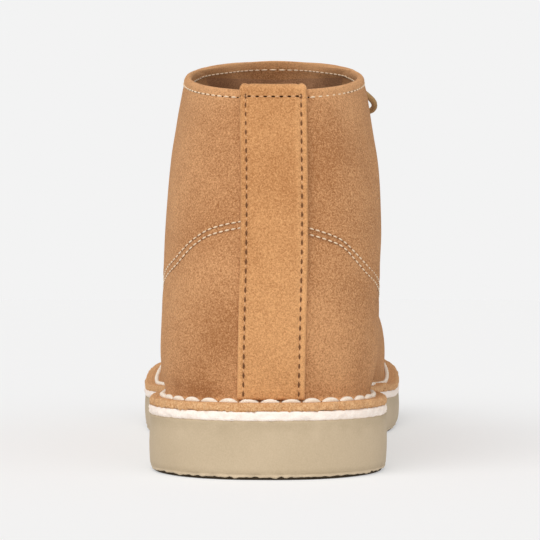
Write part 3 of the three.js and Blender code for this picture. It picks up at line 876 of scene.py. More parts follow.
# climb, turn
QUARTER_EDGE = np.array([
    [0, 0.257],
    [0.1, 0.268],
    [0.2, 0.28],
    [0.3, 0.3],
    [0.4, 0.326],
    [0.5, 0.367],
    [0.55, 0.396],
    [0.6, 0.43],
    [0.64, 0.459],
    [0.68, 0.4805],
    [0.72, 0.489],
    [0.75, 0.4905],
    [0.8, 0.4875],
    [0.9, 0.48],
    [1, 0.4708],
])
edge_climbs = np.linspace(CREASE_CLIMB, RIM_CLIMB, 900)
edge_turns = smooth(QUARTER_EDGE, 1, edge_climbs)
edge_points = skin_point(edge_climbs, edge_turns)
edge_run = run_along(edge_points)
edge_share = edge_run / edge_run[-1]


def quarter_place(u, v):
    """Climb and turn for a place on the quarters: u is -1 or 1 at their front edges."""
    along_edge = np.interp(v, edge_share, edge_climbs)
    climb = mix(mix(CREASE_CLIMB, RIM_CLIMB, v), along_edge, np.abs(u) ** 3)
    return climb, u * np.interp(v, edge_share, edge_turns)


def inside_edge(inset, side, first=0.0, last=1.0, count=500):
    """A line on the leather that keeps a distance from the quarter's front edge."""
    v = np.linspace(first, last, count)
    u = np.linspace(1, 0.8, 160)
    climb, turn = quarter_place(u[None, :], v[:, None])
    points = skin_point(climb, turn)
    steps = np.linalg.norm(np.diff(points, axis=1), axis=2)
    run = np.concatenate([np.zeros((count, 1)), np.cumsum(steps, axis=1)], axis=1)
    at = np.array([np.interp(inset, run[i], u) for i in range(count)])
    climb, turn = quarter_place(at, v)
    return climb, side * turn


print("the front edge runs", round(float(edge_run[-1])), "mm from sole to collar")

# %% The other seam lines
COLLAR_SEAM = 2.7
COLLAR_INSIDE_SEAM = 2.8
EDGE_SEAM = 2.2
EDGE_SECOND_SEAM = 4.4
STRAP_CLEAR_TURN = 0.0252

# Upper row of the curved double seam over the heel counter: turn, climb
COUNTER_OUTER = np.array([
    [0.0235, 0.57],
    [0.038, 0.56],
    [0.0525, 0.545],
    [0.0608, 0.53],
    [0.07, 0.51],
    [0.0792, 0.485],
    [0.09, 0.455],
    [0.11, 0.415],
    [0.135, 0.36],
    [0.16, 0.28],
    [0.178, 0.17],
    [0.186, 0.05],
])
COUNTER_INNER = np.array([
    [0.0235, 0.552],
    [0.04, 0.535],
    [0.0575, 0.51],
    [0.0725, 0.467],
    [0.0885, 0.425],
    [0.11, 0.385],
    [0.135, 0.33],
    [0.16, 0.25],
    [0.178, 0.15],
    [0.186, 0.05],
])
COUNTER_GAP = 0.0205


def collar_place(turn, depth):
    """The climb at a depth in mm below the top of the collar."""
    climbs = np.linspace(1, 0.9, 60)
    points = skin_point(climbs[:, None], turn[None, :])
    steps = np.linalg.norm(np.diff(points, axis=0), axis=2)
    run = np.concatenate([np.zeros((1, len(turn))), np.cumsum(steps, axis=0)])
    return np.array([np.interp(depth, run[:, i], climbs) for i in range(len(turn))])


collar_reach = float(inside_edge(EDGE_SEAM, 1, 1.0, 1.0, 1)[1][0])
seams = {}
for name, sign in (("outer", 1), ("inner", -1)):
    away = np.linspace(STRAP_CLEAR_TURN, collar_reach, 260) * sign
    seams[f"collar_{name}"] = (collar_place(away, COLLAR_SEAM), away)
    table = COUNTER_OUTER if sign > 0 else COUNTER_INNER
    turns = np.linspace(table[0, 0], table[-1, 0], 200)
    climbs = smooth(table, 1, turns)
    seams[f"counter_upper_{name}"] = (climbs, turns * sign)
    lower_turns = turns - step((turns - 0.05) / 0.05) * 0.004
    seams[f"counter_lower_{name}"] = (climbs - COUNTER_GAP, lower_turns * sign)
    seams[f"front_{name}"] = inside_edge(EDGE_SEAM, sign, 0.012, 0.985)
    seams[f"front_second_{name}"] = inside_edge(EDGE_SECOND_SEAM, sign, 0.012, 0.6)
seam_points = {name: skin_point(climb, turn) for name, (climb, turn) in seams.items()}
print(len(seams), "seam lines are planned")

# %% [markdown]
# ## The quarters
#
# The two quarters are one curved wall: over the heel, along both sides and up to the collar, with
# the lower edge turned outwards. They could be sculpted, but the skin rule gives a clean grid that
# already has the right girth everywhere. On top of it come the things a hand would do: the folded
# collar, grooves under the seams, shallow creases, and the uneven cut edge. The eyelets are cut
# out of the finished wall.

# %% Creases, brushed patches, and painted shade in the low crease
# start and end (across, forwards from the back of the sole, up from the floor), depth, width
CREASES = [
    ((14, 5, 62), (16, 5, 112), 0.5, 5),
    ((-15, 5, 58), (-16, 5, 114), 0.8, 6),
    ((-22, 8, 40), (-30, 30, 60), -0.4, 8),
    ((18, 5, 36), (33, 22, 31), 0.45, 3),
    ((26, 12, 34), (36, 36, 29), -0.3, 3),
    ((14, 8, 25.5), (30, 23, 27.5), 0.7, 1.8),
    ((-16, 5, 31), (-30, 14, 30), 0.3, 3),
    ((34, 60, 84), (33, 90, 66), 0.7, 6),
    ((34, 74, 96), (33, 100, 80), 0.5, 5),
    ((-37, 62, 82), (-35, 92, 64), 0.7, 6),
    ((-36, 78, 98), (-34, 102, 82), 0.5, 5),
    ((40, 95, 50), (36, 120, 62), -0.4, 7),
    ((-40, 95, 50), (-37, 120, 62), -0.4, 7),
]
# across, forwards, up, reach in mm, tone
NAP_PATCHES_AND_CREASE_SHADE = [
    (-18, 6, 98, 15, -0.28),
    (-24, 10, 74, 12, -0.12),
    (17, 6, 84, 13, -0.2),
    (30, 14, 100, 14, 0.12),
    (28, 10, 60, 12, 0.08),
    (16, 4, 42, 10, -0.18),
    (-20, 6, 40, 12, 0.16),
    (24, 8, 32, 9, -0.12),
    # painted shade in the low crease above the turned-out edge, on the outer side
    (17, 10, 25.5, 4, -0.4),
    (22, 13, 26, 4, -0.5),
    (27, 19, 27, 4, -0.45),
    (-30, 16, 60, 10, -0.08),
]


def heel_place(across, forwards, up):
    return np.array([across + SIDE_SHIFT, LENGTH / 2 - forwards, up])


def crease_lift(points):
    lift = np.zeros(points.shape[:-1])
    for start, end, depth, width in CREASES:
        start, end = heel_place(*start), heel_place(*end)
        run = end - start
        share = np.clip(((points - start) @ run) / run.dot(run), 0, 1)
        distance = np.linalg.norm(points - (start + share[..., None] * run), axis=-1)
        lift -= trough(distance, depth, width) * (0.35 + 0.65 * np.sin(np.pi * share))
    return lift


def set_tone(piece, tone):
    """Stores a lighter or darker tone at each point, for the material to read."""
    points = np.empty(len(piece.data.vertices) * 3)
    piece.data.vertices.foreach_get("co", points)
    values = tone(points.reshape(-1, 3) / MM)
    layer = piece.data.attributes.new("tone", "FLOAT", "POINT")
    layer.data.foreach_set("value", values.astype(np.float32))


def flange_tone(points):
    height = points[:, 2] - flange_top(LENGTH / 2 - points[:, 1])
    return 0.3 * (1 - step((height - 0.6) / 0.8))


# Painted highlight along the folded top of the collar.
def rim_painted_highlight(points):
    below = collar_height(LENGTH / 2 - points[:, 1]) - points[:, 2]
    return 0.25 * (1 - step((below - 2.4) / 0.8))


# Patches of the nap, with painted light: the painted highlight along the collar's top and the
# painted shade in the low crease; the foot of the wall is lighter.
def nap_and_painted_light_tone(points):
    tone = 0.05 * waves(points, 30, 5) + flange_tone(points) + rim_painted_highlight(points)
    for across, forwards, up, reach, strength in NAP_PATCHES_AND_CREASE_SHADE:
        distance = np.linalg.norm(points - heel_place(across, forwards, up), axis=-1)
        tone = tone + strength * np.exp(-((distance / reach) ** 2))
    return tone


print(len(CREASES), "creases and", len(NAP_PATCHES_AND_CREASE_SHADE), "brushed patches")

# %% The turned-out edge, as rows of points
# inset from the cut edge in mm, share of the thickness
FLANGE_PROFILE = [
    (2.6, 0),
    (0.9, 0),
    (0.1, 0.02),
    (0, 0.2),
    (-0.05, 0.5),
    (0.02, 0.72),
    (0.2, 0.9),
    (0.6, 1.0),
    (1.2, 1.02),
    (2.0, 0.99),
    (2.9, 0.95),
]
CREASE_STEPS = 5
FOOT_ROWS = len(FLANGE_PROFILE) + CREASE_STEPS


def flange_rows(turn, wall_climb, bottom, top, seed):
    """Rows from under the turned-out edge, round it and in to the wall, in even thickness."""
    foot, wall = skin_point(0.0, turn), skin_point(wall_climb, turn)
    along, across = outline(turn)
    edge = place(along, across, 0.0)
    reach = (edge - foot) * [1, 1, 0]
    width = np.linalg.norm(reach, axis=1, keepdims=True)
    direction = reach / width
    rows = []
    for inset, share in FLANGE_PROFILE:
        point = edge - direction * inset
        ragged = 0.2 * waves(point, 2.6, seed) + 0.16 * waves(point, 1.2, seed + 1)
        fade = np.clip(1 - inset / 1.5, 0, 1)
        point = point - direction * (ragged * fade)[:, None]
        lumps = 0.1 * waves(point, 5, seed + 2) * min(share * 1.4, 1)
        frayed = 0.26 * waves(point * [1, 1, 0], 1.6, seed + 3) * (share < 0.3) * (inset < 2)
        point[:, 2] = mix(bottom, top, share) + lumps + frayed
        rows.append(point)
    radius = wall[:, 2] - foot[:, 2]
    for angle in np.linspace(math.pi / 2, 0, CREASE_STEPS + 1)[:-1]:
        arc = direction * (radius * (1 - math.cos(angle)))[:, None]
        arc[:, 2] = (top - foot[:, 2]) * math.sin(angle) + radius * (1 - math.sin(angle))
        meet = (wall - foot - [0, 0, 1] * radius[:, None]) * math.cos(angle)
        rows.append(foot + arc + meet)
    return rows


def split_flange(outer_faces, columns):
    """The faces of the turned-out edge take their own, rougher suede."""
    count = (len(FLANGE_PROFILE) - 1) * (columns - 1)
    return outer_faces[count:], outer_faces[:count]


print(FOOT_ROWS, "rows make the turned-out edge")

# %% The wall of the quarters
QUARTER_COLUMNS = 186
QUARTER_ROWS = 108
QUARTER_INNER_ROWS = 34
RIM_STEPS = 9
FOLD_SHARES = [0.992, 0.982, 0.972, 0.9665]
OVERLAP_THICK = 1.3
OVERLAP_REACH = 9.0
STRAP_COVER = 13.0
EDGE_COLUMNS = [0.9935, 0.9965, 0.9987, 1.0]
EDGE_DROPS = [0.03, 0.12, 0.32, 0.55]

half_u = np.concatenate([np.linspace(0, 0.991, QUARTER_COLUMNS), EDGE_COLUMNS])
quarter_u = np.concatenate([-half_u[:0:-1], half_u])
edge_drop = np.interp(np.abs(quarter_u), [0.991, *EDGE_COLUMNS], [0, *EDGE_DROPS])
low_edge = np.array([skin_point(edge_climbs[edge_climbs < 0.74], s * edge_turns[edge_climbs < 0.74])
                     for s in (1, -1)]).reshape(-1, 3)
eyelets = [lifted(climb, turn_across(climb, side * EYELET_ACROSS, True), 0.0)
           for climb in (UPPER_ROW, LOWER_ROW) for side in (OUTER, INNER)]


def quarter_lift(points):
    lift = crease_lift(points) + 0.12 * waves(points, 26, 11) + 0.05 * waves(points, 9, 12)
    for name, line in seam_points.items():
        lift -= trough(line_distance(points, line), 0.28, 1.0)
    below_rim = collar_height(LENGTH / 2 - points[..., 1]) - points[..., 2]
    beside_strap = np.abs(points[..., 0] - SIDE_SHIFT)
    under_strap = step((STRAP_COVER - beside_strap) / 2) * (points[..., 1] > 100)
    lift += trough(below_rim - 1.0, 0.3, 1.1) * (1 - under_strap)
    for eyelet in eyelets:
        lift -= trough(np.linalg.norm(points - eyelet, axis=-1) - EYELET_RADIUS, 0.35, 0.9)
    counter = np.minimum(line_distance(points, seam_points["counter_lower_outer"]),
                         line_distance(points, seam_points["counter_lower_inner"]))
    return lift + trough(counter - 4, 0.15, 3)


def quarter_shell():
    v = np.linspace(0, 1, QUARTER_ROWS)[:, None]
    u = quarter_u[None, :]
    climb, turn = quarter_place(u, v)
    point, outward = skin_frame(climb, turn)
    wall = point + outward * (quarter_lift(point) - edge_drop)[..., None]
    rim_foot, rim_out = wall[-1], outward[-1]
    rim_rise = skin_point(1.0, turn[-1]) - skin_point(RIM_CLIMB, turn[-1])
    rim = []
    rim_reach = rim_out * (WALL / 2 + 0.1)
    for angle in np.linspace(0, math.pi, RIM_STEPS)[1:]:
        over_rim = rim_reach * math.cos(angle) + rim_rise * 1.1 * math.sin(angle)
        rim.append(rim_foot - rim_reach + over_rim)

    foot_turn = turn[0]
    foot = skin_point(0.0, foot_turn)
    low, high = flange_bottom(LENGTH / 2 - foot[:, 1]), flange_top(LENGTH / 2 - foot[:, 1])
    ahead = np.linalg.norm(foot - np.where(foot_turn[:, None] > 0, foot[-1], foot[0]), axis=1)
    over = 1 - step((ahead - OVERLAP_REACH) / 3)
    bottom = mix(low, high - OVERLAP_THICK + 0.1, over)
    lumps = np.where(foot[:, 0] > 0, 0.1, 1.1)
    top = high + lumps * over * (0.6 + 0.5 * waves(foot, 4, 21)) - edge_drop
    for v in FOLD_SHARES:
        point, outward = skin_frame(*quarter_place(quarter_u, np.full(len(quarter_u), v)))
        rim.append(point - outward * WALL)

    v = np.linspace(0, FOLD_SHARES[-1], QUARTER_INNER_ROWS)[:, None]
    climb, turn = quarter_place(u, v)
    point, outward = skin_frame(climb, turn)
    thin = 1 - step((line_distance(point, low_edge) - OVERLAP_REACH) / 3)
    inner = point - outward * mix(WALL, OVERLAP_THICK, thin)[..., None]
    start = skin_frame(0.0, foot_turn)
    base = start[0] - start[1] * mix(WALL, OVERLAP_THICK, over)[:, None]
    base[:, 2] = bottom
    outer = np.array([*flange_rows(foot_turn, CREASE_CLIMB, bottom, top, 31), *wall, *rim])
    return panel(outer, np.array([base, *inner]), FOOT_ROWS)


points, outer_faces, inner_faces = quarter_shell()
wall_faces, edge_faces = split_flange(outer_faces, len(quarter_u))
quarters = make_piece("quarters", points, [wall_faces, inner_faces, edge_faces],
                      [suede, inner_suede, turned_edge], ["upper"])

# %% [markdown]
# ## The vamp
#
# The vamp is the front panel. Its back part goes in under the quarters, so there it lies lower by
# their thickness, and it comes up to the full height a little in front of their edge. Left as one
# smooth skin, the boot would look moulded: the step between the panels is what the eye reads.

# %% The wall of the vamp
VAMP_COLUMNS = 150
VAMP_ROWS = 84
VAMP_INNER_ROWS = 28
VAMP_CREASE_CLIMB = 0.008
VAMP_TOP = 0.735
VAMP_DROP = 1.55
VAMP_RAMP = 13.0
LEVEL_DROP = 0.75
LEVEL_RAMP = 5.0
LEVEL_TOP = 40.0
SHADE_REACH = 7.0
SHADE_TOP = 50.0

# climb, turn at the back edge of the vamp, under the quarters
VAMP_BACK = np.array([
    [0, 0.248],
    [0.2, 0.268],
    [0.4, 0.311],
    [0.5, 0.35],
    [0.6, 0.404],
    [0.65, 0.44],
    [0.735, 0.462],
])
both_edges = np.array([skin_point(edge_climbs, side * edge_turns) for side in (OUTER, INNER)])
both_edges = both_edges.reshape(-1, 3)


def ahead_of_edge(points, climb, turn):
    """Distance in front of the quarters' edge; negative where the vamp is under them."""
    behind = np.abs(turn) < smooth(QUARTER_EDGE, 1, climb)
    return np.where(behind, -1, 1) * line_distance(points, both_edges)


def outer_foot(points):
    """1 on the outer side near the sole, where the two panels lie almost level."""
    return (points[..., 0] > 0) * (1 - step((points[..., 2] - LEVEL_TOP) / 20))


def vamp_drop(ahead, points):
    level = outer_foot(points)
    ramp = mix(VAMP_RAMP, LEVEL_RAMP, level)
    return mix(VAMP_DROP, LEVEL_DROP, level) * (1 - step((ahead - 0.8) / ramp))


def vamp_turns(climb):
    share = np.linspace(0, 1, VAMP_COLUMNS)
    back = smooth(VAMP_BACK, 1, climb)
    outer = mix(back[:, None], 0.5, share[None, :])
    return np.concatenate([outer, -outer[:, -2::-1]], axis=1)


# across, along, half length across, depth and width of the soft folds over the toes
FLEX_FOLDS = [
    (-4, 196, 22, 0.35, 5),
    (2, 206, 26, 0.25, 4),
]


def vamp_lift(points):
    lift = 0.12 * waves(points, 24, 41) + 0.05 * waves(points, 8, 42)
    for across, along, half, depth, width in FLEX_FOLDS:
        away = np.hypot(np.maximum(np.abs(points[..., 0] - across) - half, 0),
                        points[..., 1] - (LENGTH / 2 - along) + 0.006 * points[..., 0] ** 2)
        lift -= trough(away, depth, width)
    return lift


def vamp_shell():
    climb = np.linspace(VAMP_CREASE_CLIMB, VAMP_TOP, VAMP_ROWS)
    turn = vamp_turns(climb)
    climb = np.broadcast_to(climb[:, None], turn.shape)
    point, outward = skin_frame(climb, turn)
    drop = vamp_drop(ahead_of_edge(point, climb, turn), point)
    wall = point + outward * (vamp_lift(point) - drop)[..., None]

    foot_turn = turn[0]
    foot = skin_point(0.0, foot_turn)
    along = LENGTH / 2 - foot[:, 1]
    ahead = ahead_of_edge(foot, np.zeros(len(foot_turn)), foot_turn)
    low, high = flange_bottom(along), flange_top(along)
    sunk = mix(VAMP_DROP - 0.1, LEVEL_DROP, foot[:, 0] > 0)
    top = high - sunk * (1 - step((ahead - 0.5) / 4))
    outer = np.array([*flange_rows(foot_turn, VAMP_CREASE_CLIMB, low, top, 51), *wall])

    climb = np.linspace(0.02, VAMP_TOP, VAMP_INNER_ROWS)
    turn = vamp_turns(climb)
    climb = np.broadcast_to(climb[:, None], turn.shape)
    point, outward = skin_frame(climb, turn)
    inner = point - outward * (WALL + 0.1)
    start = skin_frame(0.0, foot_turn)
    base = start[0] - start[1] * WALL
    base[:, 2] = low
    return panel(outer, np.array([base, *inner]), FOOT_ROWS)


def vamp_tone(points):
    """Darker in the shade of the quarters' inner edge, close to the sole."""
    shade = np.exp(-((line_distance(points, both_edges) / SHADE_REACH) ** 4)) * (points[:, 0] < 0)
    low = 1 - step((points[:, 2] - SHADE_TOP) / 12)
    return 0.06 * waves(points, 30, 6) + flange_tone(points) - 0.75 * shade * low


points, outer_faces, inner_faces = vamp_shell()
wall_faces, edge_faces = split_flange(outer_faces, 2 * VAMP_COLUMNS - 1)
vamp = make_piece("vamp", points, [wall_faces, inner_faces, edge_faces],
                  [suede, inner_suede, turned_edge], ["upper"])
set_tone(vamp, vamp_tone)

# %% Punch the eyelets


def punch(piece, places, radius, material):
    """Cuts round holes through a piece, and gives the holes' walls a material."""
    cutter_mesh = bpy.data.meshes.new("cutter")
    cutter = bmesh.new()
    for climb, turn in places:
        point, outward = skin_frame(climb, turn)
        turned = Vector(outward).to_track_quat("Z", "Y").to_matrix().to_4x4()
        turned.translation = Vector(point * MM)
        bmesh.ops.create_cone(cutter, cap_ends=True, segments=28, radius1=radius * MM,
                              radius2=radius * MM, depth=10 * MM, matrix=turned)
    cutter.to_mesh(cutter_mesh)
    cutter.free()
    cutter_mesh.materials.append(material)
    tool = bpy.data.objects.new("cutter", cutter_mesh)
    bpy.context.scene.collection.objects.link(tool)
    cut = piece.modifiers.new("eyelets", "BOOLEAN")
    cut.operation, cut.solver, cut.object = "DIFFERENCE", "EXACT", tool
    evaluated = piece.evaluated_get(bpy.context.evaluated_depsgraph_get())
    mesh = bpy.data.meshes.new_from_object(evaluated)
    piece.modifiers.remove(cut)
    bpy.data.objects.remove(tool)
    piece.data = mesh
    print(piece.name, "has", len(mesh.polygons), "faces after punching")


eyelet_places = [(climb, float(turn_across(climb, side * EYELET_ACROSS, True)))
                 for climb in (UPPER_ROW, LOWER_ROW) for side in (OUTER, INNER)]
punch(quarters, eyelet_places, EYELET_RADIUS - 0.3, inner_suede)
set_tone(quarters, nap_and_painted_light_tone)

# %% [markdown]
# ## The back strap
#
# A wide strip of the same suede runs up the back seam, folds over the collar and is caught down
# inside. It stands proud of the quarters, so its cut edges are rounded over and catch the light.
# Its rows of points follow the heel, then the fold, then the inside of the collar.

# %% The strap
STRAP_COLUMNS = 61
STRAP_ROWS = 120
STRAP_SEAM = 1.9
STRAP_TOP_SEAM = 2.7
FOLD_STEPS = 12
TUCK_STEPS = 9
STRAP_FOOT_CLIMB = 0.012
STRAP_PINCH = 0.035

strap_half = STRAP_WIDTH / 2


def strap_across(share, climb):
    return share * strap_half + STRAP_DRIFT * (1 - climb)


def strap_frames(columns, climbs):
    """Points and outward directions up the heel, over the collar and down inside."""
    climb = np.broadcast_to(climbs[:, None], (len(climbs), len(columns)))
    turn = turn_across(climb, strap_across(columns[None, :], climb), False)
    point, outward = skin_frame(climb, turn)
    top, level = point[-1], outward[-1] * [1, 1, 0]
    level = level / np.linalg.norm(level, axis=1, keepdims=True)
    middle = top - level * WALL / 2
    points, outwards = [*point], [*outward]
    for angle in np.linspace(0, math.pi, FOLD_STEPS + 2)[1:-1]:
        points.append(middle + level * WALL / 2 * math.cos(angle))
        outwards.append(level * math.cos(angle) + np.array([0, 0, 1]) * math.sin(angle))
    for share in np.linspace(0, 1, TUCK_STEPS):
        climb = np.full(len(columns), 1 - share * STRAP_TUCK / back_seam)
        turn = turn_across(climb, strap_across(columns, climb), False)
        point, outward = skin_frame(climb, turn)
        points.append(point - outward * WALL)
        outwards.append(-outward)
    return np.array(points), np.array(outwards)


def strap_shell():
    share = np.linspace(-1, 1, STRAP_COLUMNS)
    climbs = np.linspace(STRAP_FOOT_CLIMB, 1, STRAP_ROWS)
    point, outward = strap_frames(share, climbs)
    inset = (1 - np.abs(share)) * strap_half
    rounded = 0.75 * (1 - np.sqrt(1 - np.clip(1 - inset / 1.1, 0, 1) ** 2))
    lift = GAP + STRAP_THICK - rounded - trough(inset - STRAP_SEAM, 0.3, 0.8)
    lift = lift + trough(inset - 0.9, 0.1, 0.7)
    lift = np.broadcast_to(lift, point.shape[:2]).copy()
    lift += 0.08 * waves(point, 14, 61) + 0.03 * waves(point, 3, 62)
    below = STRAP_TOP_SEAM - np.linalg.norm(point - point[STRAP_ROWS - 1], axis=2)
    on_heel = np.arange(len(point))[:, None] < STRAP_ROWS
    between = inset[None, :] > STRAP_SEAM
    lift -= trough(below, 0.3, 0.8) * on_heel * between
    outer = point + outward * lift[..., None]
    from_fold = np.arange(len(point)) - STRAP_ROWS - FOLD_STEPS / 2
    pinch = 1 - STRAP_PINCH * np.exp(-((from_fold / 5.0) ** 2))
    centre = outer[:, STRAP_COLUMNS // 2, None, :]
    outer = centre + (outer - centre) * pinch[:, None, None]
    inner = (point + outward * (GAP - 0.25))[::2]
    inner = centre[::2] + (inner - centre[::2]) * pinch[::2, None, None]
    return panel(outer, inner)


def strap_tone(points):
    across = np.abs(points[:, 0] - SIDE_SHIFT - STRAP_DRIFT * (118 - points[:, 2]) / 95)
    # Painted highlight along the rounded cut edges (edge) and over the fold at the collar (fold);
    # the strap is also lighter towards the bottom and darker towards the top.
    edge = step((across - strap_half + 1.7) / 0.8)
    fold = step((points[:, 2] - 118) / 2)
    upward = 0.2 - 0.28 * step((points[:, 2] - 30) / 55)
    return 0.22 * edge + 0.16 * fold + 0.06 * waves(points, 24, 7) + upward


points, outer_faces, inner_faces = strap_shell()
strap = make_piece("back_strap_leather", points, [outer_faces, inner_faces],
                   [strap_suede, strap_suede], ["back_strap"])
set_tone(strap, strap_tone)

# %% [markdown]
# ## The tongue
#
# The tongue lies under the facings, behind the lace. Seen from behind the boot it closes the
# throat, so its rounded top is level with the collar and carries the same edge seam.

# %% The tongue
TONGUE_COLUMNS = 61
TONGUE_ROWS = 60
TONGUE_END_STEPS = 6

# climb, half width, depth under the upper
TONGUE = np.array([
    [0.56, 17, 0.5],
    [0.62, 18, 1.4],
    [0.7, 20, 3.4],
    [0.8, 22.5, 3.4],
    [0.94, 27.5, 3.4],
    [1, 29.5, 1],
])
TONGUE_EDGE_DEPTH = -0.9
TONGUE_EDGE_THICK = 0.5
TONGUE_FOLD = 3
tongue_slope = skin_point(1.0, 0.5) - skin_point(UPPER_ROW, 0.5)
tongue_slope = tongue_slope / np.linalg.norm(tongue_slope)


def tongue_side(share):
    """0 over the middle of the tongue, 1 at its sides, which are sunk in the quarters."""
    return step((np.abs(share) - 0.7) / 0.28)


def tongue_rise(share):
    middle = 0.8 + 1.4 * np.exp(-((share / 0.6) ** 2))
    return mix(middle, -0.2, tongue_side(share))


def tongue_shell():
    share = np.linspace(1, -1, TONGUE_COLUMNS)
    climb = np.linspace(TONGUE[0, 0], 1, TONGUE_ROWS)[:, None]
    turn = turn_across(climb, share * smooth(TONGUE, 1, climb), True)
    climb = np.broadcast_to(climb, turn.shape)
    point, outward = skin_frame(climb, turn)
    to_side = tongue_side(share)
    depth = WALL + mix(smooth(TONGUE, 2, climb), TONGUE_EDGE_DEPTH, to_side)
    thick = mix(TONGUE_THICK, TONGUE_EDGE_THICK, to_side)
    edge = np.clip(1 - (1 - np.abs(share)) * 23 / 0.5, 0, 1)
    thin = 0.2 * (1 - np.sqrt(1 - edge**2))
    soft = 0.08 * waves(point, 18, 71)
    outer = point - outward * (depth + thin - soft)[..., None]
    inner = point - outward * (depth + thick - thin - soft)[..., None]
    rise = tongue_rise(share)
    tops, unders = [], []
    for angle in np.linspace(0, math.pi / 2, TONGUE_END_STEPS + 1)[1:]:
        reach = (rise * math.sin(angle))[:, None] * tongue_slope
        shrink = outward[-1] * (thick / 2)[:, None] * (1 - math.cos(angle)) ** 0.6 * 0.9
        tops.append(outer[-1] + reach - shrink)
        unders.append(inner[-1] + reach + shrink)
    fold = inner[-TONGUE_FOLD:][::-1]
    return panel(np.array([*outer, *tops, *unders[::-1], *fold]), inner[:-TONGUE_FOLD])


points, outer_faces, inner_faces = tongue_shell()
tongue = make_piece("tongue_leather", points, [outer_faces, inner_faces], [suede, inner_suede],
                    ["tongue"])
# The tongue's rounded top carries the same painted highlight as the collar's folded top.
set_tone(tongue, lambda points: 0.05 * waves(points, 20, 8) + 1.2 * rim_painted_highlight(points))

# %% [markdown]
# ## The sole
#
# Three layers share one outline and are trimmed flush: the turned-out edge, a felt midsole and a
# wedge of crepe rubber. The felt, the crepe and the insole are plates built from rings round the
# outline. Their upper and lower faces are grids from one side to the other, so the crepe can be
# crinkled underneath as well as along its rough bottom edge.

# %% Plates with the sole's outline
PLATE_TURNS = 720


def plate_turns(count):
    share = np.arange(count) / count
    return np.where(share <= 0.5, share, share - 1)


def plate(name, rings, cross_steps, relief, materials, stands_for, low_rings=0):
    """rings: arrays of points round the outline, from the lowest to the highest."""
    count = rings[0].shape[0]
    half = count // 2
    points, faces = [np.concatenate(rings)], []
    for j in range(len(rings) - 1):
        for i in range(count):
            follow = (i + 1) % count
            low, high = j * count, (j + 1) * count
            faces.append([low + i, high + i, high + follow, low + follow])
    # The side faces between the lowest rings take the second material; on the crepe sole that is
    # the dark painted shadow under the lip.
    groups = [faces[low_rings * count:], faces[: low_rings * count]]
    for ring, upward in ((rings[0], False), (rings[-1], True)):
        start = sum(len(part) for part in points)
        share = np.linspace(0, 1, cross_steps + 1)[:, None, None]
        left = ring[: half + 1]
        right = ring[(-np.arange(half + 1)) % count]
        grid = mix(left[None], right[None], share)
        if not upward:
            grid = grid + relief(grid) * np.array([0, 0, 1.0]) * (np.sin(np.pi * share) ** 0.3)
        points.append(grid.reshape(-1, 3))
        groups.append(grid_faces(cross_steps + 1, half + 1, start, inward=not upward))
    return make_piece(name, np.concatenate(points), groups, materials, stands_for)


def ring_at(turn, inset, height):
    along, across = outline(turn, inset, inset, inset)
    return place(along, across, height(along))


def outward_of(ring):
    around = np.roll(ring, -1, axis=0) - np.roll(ring, 1, axis=0)
    outward = np.stack([around[:, 1], -around[:, 0], np.zeros(len(ring))], axis=1)
    outward /= np.linalg.norm(outward, axis=1, keepdims=True)
    middle = ring.mean(axis=0)
    return outward * np.sign(((ring - middle) * outward).sum())


def flat_relief(grid):
    return 0.0 * grid[..., :1]


print("plates are cut from", PLATE_TURNS, "points")

# %% Crepe wedge
CREPE_CROSS_STEPS = 26

# The side faces below the fourth ring form a recessed band under the lip; they are painted dark as
# the shadow where the sole meets the floor.
# share of the thickness, inset in mm, lift in mm, how ragged
CREPE_PROFILE = [
    (0.0, 2.0, 0.0, 0.0),
    (0.0, 1.5, 0.1, 0.0),
    (0.0, 1.3, 0.7, 0.5),
    (0.0, 0.7, 0.85, 1.0),
    (0.01, 0.45, 0.9, 1.0),
    (0.03, 0.4, 0.9, 0.9),
    (0.05, 0.42, 0.8, 0.6),
    (0.08, 0.3, 0.5, 0.2),
    (0.125, 0.15, 0.2, 0.1),
    (0.2, 0.05, 0.0, 0.0),
    (0.35, -0.1, 0.0, 0.0),
    (0.5, -0.15, 0.0, 0.0),
    (0.65, -0.1, 0.0, 0.0),
    (0.8, 0.0, 0.0, 0.0),
    (0.9, 0.04, 0.0, 0.0),
    (0.97, 0.06, 0.0, 0.0),
    (1.0, 0.12, 0.0, 0.0),
    (1.012, 0.6, 0.0, 0.0),
]


def nibbles(ring, seed):
    """Uneven bites along the bottom edge: broad waves, with sharp small nicks among them."""
    slow = waves(ring, 9, seed)
    quick = waves(ring, 2.3, seed + 1)
    sharp = np.maximum(waves(ring, 3.2, seed + 2), 0) ** 2
    return 0.07 * slow + 0.17 * quick + 0.16 * sharp


def crepe_relief(grid):
    crinkle = 1 - np.abs(waves(grid, 7, 83)) + 0.5 * (1 - np.abs(waves(grid, 3, 84)))
    return (0.35 * np.maximum(crinkle, 0.1))[..., None]


turns = plate_turns(PLATE_TURNS)
crepe_rings = []
for share, inset, lift, ragged in CREPE_PROFILE:
    ring = ring_at(turns, inset, lambda along: sole_bottom(along) + smooth(CREPE, 1, along) * share)
    out = outward_of(ring)
    ring = ring + out * (0.12 * waves(ring, 30, 81) + 0.22 * ragged * waves(ring, 3.4, 82))[:, None]
    ring[:, 2] += np.maximum(lift + ragged * nibbles(ring * [1, 1, 0], 85), 0)
    crepe_rings.append(ring)
outsole = plate("crepe_sole", crepe_rings, CREPE_CROSS_STEPS, crepe_relief,
                [crepe, painted_lip_shadow, tread, crepe], ["outsole"], low_rings=3)


